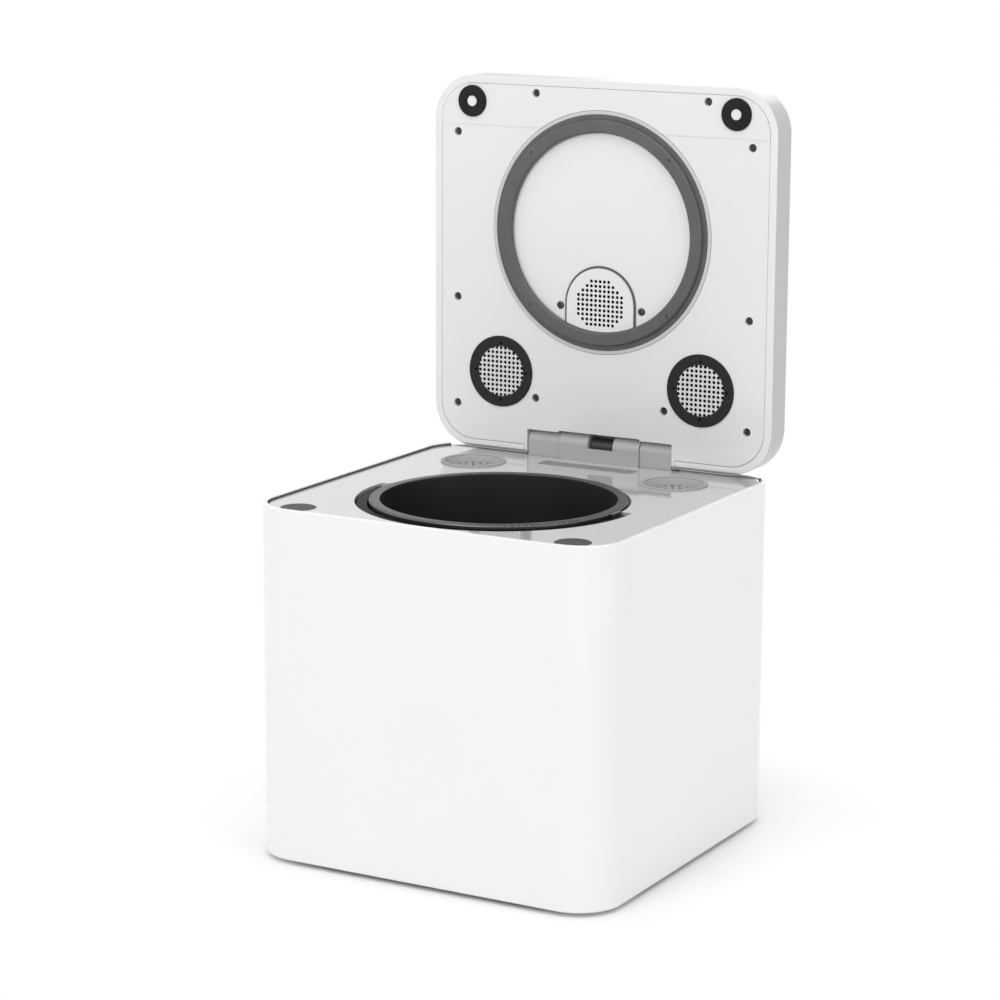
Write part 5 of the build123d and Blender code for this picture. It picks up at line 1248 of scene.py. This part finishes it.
@dataclass
class LidSeal(PiercedPlate):
    """Gasket with its carrier and disc, and the pierced vent in the disc."""

    rule: Lattice = Lattice.VENT
    reach: float = 7.5
    plate_finish: Finish = DISC_SATIN

    def build(self) -> None:
        """Make the seal's pieces."""
        self.skin("seal_carrier", CARRIER_GREY, 0.2 * MM)
        self.skin("lid_seal", SEAL_GREY, angle=ROUND_ANGLE)
        self.skin("lid_disc", DISC_SATIN, 0.2 * MM)
        self.skin("vent_seal", SEAL_GREY)
        self.vent()

    def vent(self) -> None:
        """Make the vent's cover from its D-shaped outline, and its felt."""
        low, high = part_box("vent_cover")
        radius = (high[0] - low[0]) / 2
        x, z = (low[0] + high[0]) / 2, high[2] - radius
        outline = front_outline("vent_cover")
        plate = slab(outline, low[1], high[1])
        self.pierce("vent_cover_form", plate, "vent_cover", (x, z))
        share = 1.0 - self.pitch / (2 * radius)
        inner = [(x + (u - x) * share, z + (v - z) * share) for u, v in outline]
        # Black sheet of painted shade in the vent's holes.
        shade_sheet = slab(inner, *self.shade_sheet_levels("vent_cover"))
        self.add_trim("vent_hole_shade", shade_sheet, PAINTED_HOLE_SHADE, "vent_cover")


@dataclass
class FilterCover(PiercedPlate):
    """One filter: its dark bezel, the pierced plate inside it and the carbon pad behind."""

    side: str = "left"
    rule: Lattice = Lattice.FILTER
    reach: float = 32.5
    plate_finish: Finish = MESH_GREY
    soft_edge: float = 0.35 * MM

    def build(self) -> None:
        """Make the filter's pieces."""
        self.skin(f"{self.side}_filter_bezel", BEZEL_GREY, 0.25 * MM)
        node = f"{self.side}_filter_mesh"
        low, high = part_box(node)
        centre = ((low[0] + high[0]) / 2, (low[2] + high[2]) / 2)
        radius, soft = (high[0] - low[0]) / 2, self.soft_edge
        profile = [(radius - soft, low[1]), (radius, low[1] + soft), (radius, high[1])]
        plate = turned_plate(profile, centre)
        self.pierce(f"{self.side}_filter_plate", plate, node, centre)
        # Black sheet of painted shade in the filter's holes.
        inside = radius - 2 * self.shade_sheet_margin
        shade_sheet = turned_plate([(inside, level) for level in self.shade_sheet_levels(node)], centre)
        self.add_trim(f"{self.side}_filter_felt", shade_sheet, PAINTED_HOLE_SHADE, node)
        self.skin(f"{self.side}_filter_cartridge", CARBON_FLEECE, 0.4 * MM)


@dataclass
class Drive(Assembly):
    """Gearbox, motor and gears under the well, and the fan with its ducts."""

    def build(self) -> None:
        """Dress the drive's and the air path's pieces."""
        self.skin("output_wheel", ACETAL, angle=TOOTH_ANGLE)
        self.skin("idler_wheel", ACETAL, angle=TOOTH_ANGLE)
        self.skin("motor_pinion", BRASS, angle=TOOTH_ANGLE)
        self.skin("output_shaft", SHAFT_STEEL, 0.15 * MM)
        self.skin("fan_rotor", LEDGE_BLACK)
        self.skin("fan_frame", LEDGE_BLACK, 0.3 * MM)
        self.dress("gearbox_case", LEDGE_BLACK)
        self.dress("gearbox_cover", LEDGE_BLACK)
        self.dress("output_bearings", PIN_STEEL)
        self.dress("idler_axle", SHAFT_STEEL)
        self.dress("motor_housing", PLATE_STEEL)
        self.dress("port_ducts", DUCT_GREY)
        self.dress("collector", DUCT_GREY)


# ---- studio
@dataclass
class Studio:
    """Camera at the photograph's angle, pale floor, white surround and soft lamps."""

    azimuth: float = 29.24135
    elevation: float = 12.11570
    roll: float = -0.25514
    place: Point = (1.01501, -1.83932, 0.69083)
    focal_length: float = 112.945
    sensor: float = 36.0
    clip: Spot = (0.05, 50.0)
    ambient: float = 0.62
    floor_radius: float = 3.0
    floor_grey: Colour = (0.93, 0.93, 0.93)
    shadow_reach: Spot = (0.15, 0.28)

    def camera(self) -> None:
        """Set up the camera."""
        a, e = math.radians(self.azimuth), math.radians(self.elevation)
        back = Vector((math.sin(a) * math.cos(e), -math.cos(a) * math.cos(e), math.sin(e)))
        right = Vector((math.cos(a), math.sin(a), 0.0))
        up = back.cross(right)
        turn = Matrix((right, up, back)).transposed() @ Matrix.Rotation(
            -math.radians(self.roll), 3, "Z"
        )
        data = bpy.data.cameras.new("photograph")
        data.sensor_width = self.sensor
        data.lens = self.focal_length
        data.clip_start, data.clip_end = self.clip
        camera = link("photograph", data)
        camera.matrix_world = Matrix.Translation(self.place) @ turn.to_4x4()
        bpy.context.scene.camera = camera

    @staticmethod
    def seen_ray(tree: Tree) -> Sock:
        """Return one for rays that show the surround, straight or in metal and glass."""
        kinds = ("Camera", "Glossy", "Transmission")
        paths = [tree.add("ShaderNodeLightPath", output=f"Is {kind} Ray") for kind in kinds]
        return paths[0] | paths[1] | paths[2]

    def surround(self) -> None:
        """Make the world: white where it is seen, softer where it lights the object."""
        world = bpy.data.worlds.new("surround")
        world.use_nodes = True
        bpy.context.scene.world = world
        tree = Tree(world.node_tree)
        shown = self.seen_ray(tree)
        light = self.ambient + (1.0 - self.ambient) * shown
        glow = tree.add("ShaderNodeBackground", inputs={"Color": (1, 1, 1, 1), "Strength": light})
        tree.add("ShaderNodeOutputWorld", inputs={"Surface": glow})

    def floor(self) -> None:
        """Make the floor: it takes the object's shadow near it and goes over to white."""
        mesh = bpy.data.meshes.new("floor")
        r = self.floor_radius
        mesh.from_pydata([(-r, -r, 0), (r, -r, 0), (r, r, 0), (-r, r, 0)], [], [(0, 1, 2, 3)])
        floor = link("floor", mesh)
        shader = Shader("pale_floor")
        x, y, _ = shader.split(shader.place)
        away = (x * x + y * y) ** 0.5
        fade = shader.ramp(away, tuple(zip(self.shadow_reach, (0.0, 1.0))))
        seen = self.seen_ray(shader)
        matt = shader.add(
            "ShaderNodeBsdfPrincipled",
            inputs={"Base Color": (*self.floor_grey, 1.0), "Roughness": 0.9},
        )
        white = shader.add("ShaderNodeEmission", inputs={"Color": (1, 1, 1, 1), "Strength": 1.0})
        both = shader.add("ShaderNodeMixShader", inputs={0: fade * seen, 1: matt, 2: white})
        shader.add("ShaderNodeOutputMaterial", inputs={"Surface": both})
        mesh.materials.append(shader.material)

    @staticmethod
    def lamp(name: str, place: Point, target: Point, size: Spot, power: float) -> None:
        """Set up a soft box.

        Args:
            name: its name.
            place: where it stands.
            target: what it faces.
            size: its width and height.
            power: its power, in watts.
        """
        data = bpy.data.lights.new(name, "AREA")
        data.shape = "RECTANGLE"
        data.size, data.size_y = size
        data.energy = power
        lamp = link(name, data)
        look = (Vector(target) - Vector(place)).to_track_quat("-Z", "Y")
        lamp.matrix_world = Matrix.Translation(place) @ look.to_matrix().to_4x4()

    def build(self) -> None:
        """Set up the whole studio."""
        self.camera()
        self.surround()
        self.floor()
        middle = (0.0, 0.0, 0.2)
        self.lamp("front", (-0.3, -2.5, 1.6), middle, (1.6, 1.6), 16.5)
        self.lamp("top", (0.2, -0.5, 2.2), middle, (1.8, 1.8), 16.0)
        self.lamp("right", (2.2, -0.4, 1.0), middle, (1.2, 1.6), 7.0)
        self.lamp("left", (-2.2, -0.3, 1.0), middle, (1.2, 1.6), 4.0)
        self.lamp("rear", (-0.4, 2.4, 1.4), middle, (1.6, 1.6), 12.0)


def main() -> None:
    """Build the studio and every sub-assembly in order."""
    logging.basicConfig(level=logging.INFO, format="%(message)s")
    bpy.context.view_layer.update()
    scene = bpy.context.scene
    scene.view_settings.view_transform = "Standard"
    Studio().build()
    assemblies: list[Assembly] = [
        Housing(),
        Deck(),
        Hinge(),
        Well(),
        Bucket(),
        Lid(),
        LidSeal(),
        FilterCover(side="left"),
        FilterCover(side="right"),
        Drive(),
    ]
    for assembly in assemblies:
        LOG.info("%s", type(assembly).__doc__)
        assembly.build()
        LOG.info("%d pieces made", len(assembly.pieces))


if __name__ == "__main__":
    main()
